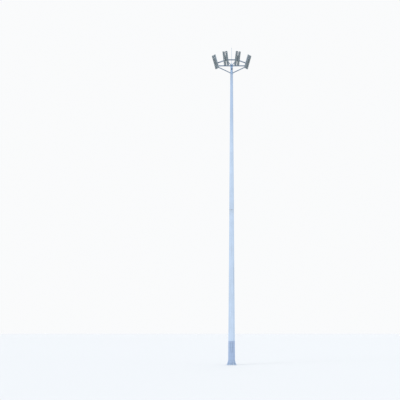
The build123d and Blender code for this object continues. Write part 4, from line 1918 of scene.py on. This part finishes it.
@dataclass
class Lamp:
    """One lamp: two finned strips on a centre body, lens covers, supply housing and tilt bolt.

    Its own frame has its origin at the tilt bolt, x across, y up its length and z out of its face.
    """

    number: int  # the lamp's number, from the left
    tilt: float = 20.5  # lean of its length from upright, in degrees
    low: float = -0.305  # local y of the strips' lower end
    high: float = 0.395  # local y of their upper end
    strip_centre: float = 0.0725  # from the middle to a strip's middle
    strip_width: float = 0.105  # width of a strip
    back: float = -0.015  # local z of the fins' tips
    fin_height: float = 0.038  # height of the fins
    fin_thickness: float = 0.003  # thickness of a fin
    fin_count: int = 9  # fins on a strip
    sunk: float = 0.001  # how far a piece reaches into what it stands on
    sink_base: float = 0.008  # thickness of the strip's base
    end_plate: float = 0.004  # thickness of the plates at its ends
    board: float = 0.006  # thickness of the board on it
    board_inset: float = 0.003  # how far the board is from the strip's edge
    module_count: int = 6  # lens covers on a strip
    module_length: float = 0.108  # length of a lens cover's gasket
    module_width: float = 0.095  # its width
    gasket: float = 0.0022  # its thickness
    cover: float = 0.0026  # thickness of a lens cover
    cover_inset: float = 0.0018  # how far a lens cover is from its gasket's edge
    lens_count: int = 5  # lenses in a row and in a column
    lens_radius: float = 0.0070  # radius of a lens across the lamp
    lens_across: float = 0.0168  # from lens to lens across the lamp
    lens_along: float = 0.0184  # from lens to lens along it
    face: float = 0.045  # local z of the lenses' tops
    casting_face: float = 0.037  # local z of the centre body's face
    lid: float = 0.110  # local y of the middle of the lid on that face
    driver_half: float = 0.075  # half the supply housing's width
    driver_low: float = 0.038  # local y of its lower end
    driver_high: float = 0.188  # local y of its upper end
    driver_back: float = -0.065  # local z of its back
    driver_rim: float = 0.0085  # width of the flange round it
    bolt_seat: float = 0.011  # from the middle to the bolt's head and to its nut
    bolt_head: float = 0.008  # thickness of both
    bolt_flats: float = 0.024  # their width across flats
    bolt_radius: float = 0.008  # radius of the bolt

    def __post_init__(self) -> None:
        """Read the lamp's place from its tilt joint and work out the faces of its layers."""
        self.body = Body(f"lamp_{self.number}")
        joint = next(joint for joint in frame["joints"] if joint["child"] == self.body.value)
        across = Vector(joint["axis"])
        lean = radians(self.tilt)
        facing = across.cross(UP) * cos(lean) - UP * sin(lean)
        self.place = basis(Vector(joint["pos_m"]), across, facing)
        self.fin_root = self.back + self.fin_height
        self.plate_face = self.fin_root + self.sink_base
        self.board_face = self.plate_face + self.board
        self.gasket_face = self.board_face + self.gasket
        self.cover_face = self.gasket_face + self.cover
        self.screws = Spots()
        self.chance = random.Random(SEED + self.number)

    def screw(self, x: float, y: float, z: float, facing: Vector = UP) -> None:
        """Add a screw at a place, turned by chance."""
        self.screws.add(Vector((x, y, z)), facing, self.chance.uniform(0, pi))

    def build(self) -> None:
        """Make the lamp's pieces, the screws last, because the others say where they are."""
        name = self.body.value
        for piece, make, finish, *replaced in (
            ("fin_strips", self.strips, LAMP_FINS, "heat_sinks"),
            ("boards", self.boards, BOARD_PLATE),
            ("gaskets", self.gaskets, GASKET),
            ("lens_covers", self.covers, LENS_COVER, "light_modules"),
            ("lenses", self.lenses, LENS_DOME),
            ("centre_block", self.centre, CENTRE_CASTING, "centre_body"),
            ("supply_housing", self.driver, DRIVER_COAT, "driver_box"),
            ("clamp_bolt", self.bolt, BOLT_STEEL, "tilt_bolt"),
            ("screws", self.screw_heads, BOLT_STEEL),
        ):
            nodes = [f"{name}_{node}" for node in replaced]
            show(f"{name}_{piece}", make(), finish, *nodes, body=self.body)

    def strips(self) -> Mesh:
        """Both strips: base, fins and end plates.

        Returns:
            The mesh.
        """
        draft = Draft()
        half = self.strip_width / 2
        plate = rounded_rectangle(self.strip_width, self.plate_face - self.back, 0.004, 4)
        height = self.fin_height + self.sunk
        for side in (-1, 1):
            middle = side * self.strip_centre
            draft.box((middle - half, self.low, self.fin_root), (middle + half, self.high, self.plate_face))
            draft.soften(0.001)
            fins = fin_tree().grow(
                thickness=self.fin_thickness,
                height=height,
                length=self.high - self.low - self.end_plate,
                rounding=0.0012,
                pitch=(self.strip_width - self.fin_thickness) / (self.fin_count - 1),
                count=self.fin_count,
            )
            start = (middle - half + self.fin_thickness / 2, self.low + self.end_plate / 2)
            draft.take(fins, Matrix.Translation((*start, self.back + height / 2)))
            draft.leave()
            for y in (self.low, self.high - self.end_plate):
                centre = Vector((middle, y, (self.plate_face + self.back) / 2))
                draft.prism(plate, 0, self.end_plate, basis(centre, ACROSS, LENGTHWAYS))
                draft.soften(0.0007)
            for y, facing in ((self.low + 0.0012, -LENGTHWAYS), (self.high - 0.0012, LENGTHWAYS)):
                for x in (-0.042, -0.014, 0.014, 0.042):
                    self.screw(middle + x, y, self.fin_root + 0.002, facing)
        return draft.mesh(self.place)

    def boards(self) -> Mesh:
        """The flat boards under the lens covers.

        Returns:
            The mesh.
        """
        draft = Draft()
        half = self.strip_width / 2 - self.board_inset
        for side in (-1, 1):
            middle = side * self.strip_centre
            low = (middle - half, self.low + self.board_inset, self.plate_face)
            high = (middle + half, self.high - self.board_inset, self.board_face)
            draft.box(low, high)
            draft.soften(0.0008)
        return draft.mesh(self.place)

    def modules(self) -> list[Point]:
        """Place the lens covers.

        Returns:
            The middle of each one.
        """
        pitch = (self.high - self.low - 2 * self.board_inset) / self.module_count
        rows = [self.low + self.board_inset + (index + 0.5) * pitch for index in range(self.module_count)]
        return [(side * self.strip_centre, y) for side in (-1, 1) for y in rows]

    def module_slab(self, inset: float, corner: float, low: float, high: float) -> Mesh:
        """One rounded slab on every module.

        Args:
            inset: how far its edge is inside the module's.
            corner: radius of its corners.
            low: local z of its underside.
            high: local z of its top.

        Returns:
            The mesh.
        """
        draft = Draft()
        slab = rounded_rectangle(self.module_width - 2 * inset, self.module_length - 2 * inset, corner)
        for x, y in self.modules():
            draft.prism(shifted(slab, x, y), low, high)
        draft.soften(0.0009)
        return draft.mesh(self.place)

    def gaskets(self) -> Mesh:
        """The dark gaskets that the covers are pressed on."""
        return self.module_slab(0.0, 0.006, self.board_face, self.gasket_face)

    def covers(self) -> Mesh:
        """The clear covers, with their screws.

        Returns:
            The mesh.
        """
        inset = 0.0065
        across, along_it = self.module_width / 2 - inset, self.module_length / 2 - inset
        for x, y in self.modules():
            for side_x in (-across, across):
                for side_y in (-along_it, along_it):
                    self.screw(x + side_x, y + side_y, self.cover_face)
        return self.module_slab(self.cover_inset, 0.005, self.gasket_face, self.cover_face)

    def lenses(self) -> Mesh:
        """The small domes on the covers, a little longer than wide.

        Returns:
            The mesh.
        """
        spots = Spots()
        places = [index - (self.lens_count - 1) / 2 for index in range(self.lens_count)]
        for x, y in self.modules():
            for column in places:
                for row in places:
                    place = (x + column * self.lens_across, y + row * self.lens_along, self.cover_face)
                    spots.add(Vector(place))
        rise = self.face - self.cover_face
        levels = [(0.0, 1.0), (0.42, 0.93), (0.78, 0.62), (1.0, 0.0)]
        profile = [(self.lens_radius * radius, rise * height) for radius, height in levels]
        draft = Draft()
        draft.lathe([*profile, (self.lens_radius, -0.0004)], segments=12)
        dome = draft.mesh()
        core = dome.attributes.new("core", "FLOAT", "POINT")
        core.data.foreach_set("value", [1 - vert.co.xy.length / self.lens_radius for vert in dome.vertices])
        dome.transform(Matrix.Diagonal((1.0, 1.15, 1.0, 1.0)))
        return settle(spots.grow(dome), self.place)

    def centre(self) -> Mesh:
        """The centre body from its CAD solid, with rounded edges, a lid and cast ribs on its face.

        Returns:
            The mesh.
        """
        draft = Draft()
        draft.take_node(f"{self.body.value}_centre_body", self.place.inverted())
        draft.soften(0.0014, 2, 60.0)
        foot = self.casting_face - self.sunk
        width, length, rise = 0.034, 0.136, 0.0028
        lid = shifted(rounded_rectangle(width, length, 0.005), 0, self.lid)
        draft.prism(lid, foot, self.casting_face + rise)
        draft.soften(0.0008)
        for x in (-0.0118, 0.0118):
            for y in (self.lid - 0.0615, self.lid + 0.0615):
                self.screw(x, y, self.casting_face + rise - 0.0001)
        count, first, pitch = 9, -0.084, 0.0135
        for index in range(count):
            rib = shifted(rounded_rectangle(width - 0.001, 0.004, 0.0018, 3), 0, first + index * pitch)
            draft.prism(rib, foot, self.casting_face + 0.0024)
            draft.soften(0.0007)
        return draft.mesh(self.place)

    def driver(self) -> Mesh:
        """The supply housing: a flanged box with shallow ribs on its back, and its cable plug.

        Returns:
            The mesh.
        """
        draft = Draft()
        middle = (self.driver_low + self.driver_high) / 2
        length = self.driver_high - self.driver_low
        rim = self.driver_rim
        flange = 0.004
        base = rounded_rectangle(2 * self.driver_half, length, 0.007)
        draft.prism(shifted(base, 0, middle), self.back - flange, self.back)
        draft.soften(0.0009)
        shell = rounded_rectangle(2 * (self.driver_half - rim), length - 2 * rim, 0.010, 6)
        outer = self.driver_back + 0.0035
        draft.prism(shifted(shell, 0, middle), outer, self.back - flange + self.sunk)
        draft.soften(0.006, 4, 50.0, lambda edge: max(vert.co.z for vert in edge.verts) < outer + 0.0005)
        count, pitch = 11, 0.0108
        run = length - 2 * rim - 0.022
        ribs = fin_tree().grow(
            thickness=0.0032, height=0.008, length=run, rounding=0.0015, pitch=pitch, count=count
        )
        start = (-(count - 1) / 2 * pitch, middle - run / 2, self.driver_back + 0.004)
        draft.take(ribs, Matrix.Translation(start))
        draft.leave()
        for x in (rim / 2 - self.driver_half, self.driver_half - rim / 2):
            for y in (self.driver_low + 0.014, middle, self.driver_high - 0.014):
                self.screw(x, y, self.back - 0.0038, -UP)
        plug = along(Vector((0.03, self.driver_low + rim + 0.0005, self.back - 0.022)), -LENGTHWAYS)
        edge = 0.001
        for radius, low, high, sides in ((0.0085, 0.0, 0.004, 6), (0.0055, 0.0035, 0.008, 20)):
            shoulder = high - 0.8 * edge if low else high - edge
            profile = [(0, low), (radius, low), (radius, shoulder), (radius - edge, high), (0, high)]
            draft.lathe(profile, plug, sides)
        return draft.mesh(self.place)

    def bolt(self) -> Mesh:
        """The clamp bolt with its head and nut.

        Returns:
            The mesh.
        """
        draft = Draft()
        seat, head = self.bolt_seat, self.bolt_head
        hexagon = circle(self.bolt_flats / 2 / cos(pi / 6), 6)
        for side in (-1, 1):
            place = basis(Vector((side * seat, 0, 0)), UP, Vector((side, 0, 0)))
            draft.prism(hexagon, 0, head, place)
            outside = seat + head / 2
            draft.soften(0.0011, 2, 70.0, lambda edge: min(abs(v.co.x) for v in edge.verts) > outside)
        length = 2 * seat + head
        shank = basis(Vector((-length / 2, 0, 0)), UP, ACROSS)
        draft.lathe([(0, 0), (self.bolt_radius, 0), (self.bolt_radius, length), (0, length)], shank, 32)
        end = basis(Vector((seat + 0.002, 0, 0)), UP, ACROSS)
        radius, tip = self.bolt_radius - 0.0002, head - 0.0012
        profile = [(0, 0), (radius, 0), (radius, tip - 0.0008), (radius - 0.0008, tip), (0, tip)]
        draft.lathe(profile, end, 24)
        return draft.mesh(self.place)

    def screw_heads(self) -> Mesh:
        """All the screws that the other pieces asked for."""
        return settle(self.screws.grow(Screw(radius=0.0026, height=0.0016).mesh()), self.place)


# Studio


@dataclass(frozen=True)
class Softbox:
    """A far, soft light."""

    name: str  # its name
    turn: float  # its heading as seen from the mast, in degrees to the right of the camera
    rise: float  # its height above the horizon in degrees
    power: float  # its strength
    spread: float  # its width in degrees

    def build(self) -> None:
        """Make the light."""
        light = bpy.data.lights.new(self.name, "SUN")
        light.energy = self.power
        light.angle = radians(self.spread)
        holder = bpy.data.objects.new(self.name, light)
        heading, up = radians(self.turn), radians(self.rise)
        source = Vector((sin(heading) * cos(up), -cos(heading) * cos(up), sin(up)))
        holder.rotation_euler = source.to_track_quat("Z", "Y").to_euler()
        bpy.context.scene.collection.objects.link(holder)


@dataclass
class Studio:
    """Camera, floor and soft light."""

    distance: float = 31.0  # how far the camera stands in front of the mast
    eye: float = 1.6  # its height
    tilt: float = 11.45  # how far it looks up, in degrees
    lens: float = 57.8  # its focal length in mm on a 36 mm sensor
    shift: float = -0.079  # sideways shift of its picture
    sight: float = 600.0  # how far it sees
    floor_reach: float = 260.0  # how far the floor reaches from the mast

    def build(self) -> None:
        """Make the camera, the floor and the light."""
        bpy.context.scene.view_settings.view_transform = "Standard"
        self.camera()
        self.floor()
        self.sky()
        Softbox("left_softbox", turn=-52.0, rise=42.0, power=1.5, spread=22.0).build()
        Softbox("right_softbox", turn=65.0, rise=35.0, power=0.9, spread=40.0).build()
        Softbox("back_softbox", turn=165.0, rise=50.0, power=0.6, spread=45.0).build()

    def camera(self) -> None:
        """Set up the camera at the photograph's viewing angle."""
        camera = bpy.data.cameras.new("photo_camera")
        camera.lens = self.lens
        camera.shift_x = self.shift
        camera.clip_end = self.sight
        holder = bpy.data.objects.new("photo_camera", camera)
        holder.location = (0, -self.distance, self.eye)
        holder.rotation_euler = (radians(90 + self.tilt), 0, 0)
        bpy.context.scene.collection.objects.link(holder)
        bpy.context.scene.camera = holder

    def floor(self) -> None:
        """Lay the plain pale floor."""
        mesh = bpy.data.meshes.new("floor")
        reach = self.floor_reach
        corners = [(-reach, -reach, 0), (reach, -reach, 0), (reach, reach, 0), (-reach, reach, 0)]
        mesh.from_pydata(corners, [], [(0, 1, 2, 3)])
        material = bpy.data.materials.new("floor")
        material.use_nodes = True
        shader = material.node_tree.nodes["Principled BSDF"]
        shader.inputs["Base Color"].default_value = (0.60, 0.61, 0.62, 1)
        shader.inputs["Roughness"].default_value = 0.9
        mesh.materials.append(material)
        piece = bpy.data.objects.new("floor", mesh)
        bpy.context.scene.collection.objects.link(piece)

    def sky(self) -> None:
        """Set the plain pale surroundings, whiter as a backdrop than as light."""
        world = bpy.data.worlds.new("surroundings")
        world.use_nodes = True
        nodes = NodeTree(world.node_tree)
        light = world.node_tree.nodes["Background"]
        light.inputs["Color"].default_value = (0.84, 0.875, 0.915, 1)
        backdrop = nodes.node("ShaderNodeBackground", {"Color": (0.955, 0.963, 0.97, 1)})
        seen = nodes.node("ShaderNodeLightPath").outputs["Is Camera Ray"]
        mixed = nodes.node("ShaderNodeMixShader", {0: seen, 1: light.outputs[0], 2: backdrop.outputs[0]})
        nodes.feed(world.node_tree.nodes["World Output"].inputs["Surface"], mixed.outputs[0])
        bpy.context.scene.world = world


def main() -> None:
    """Build the street light's pieces in order, from the ground up."""
    logging.basicConfig(level=logging.INFO, format="%(name)s: %(message)s")
    Studio().build()
    Foot().build()
    Shaft().build()
    ServiceDoor().build()
    post = HeadPost()
    post.build()
    HeadFrame(post).build()
    for number in range(1, 5):
        Lamp(number).build()


if __name__ == "__main__":
    main()
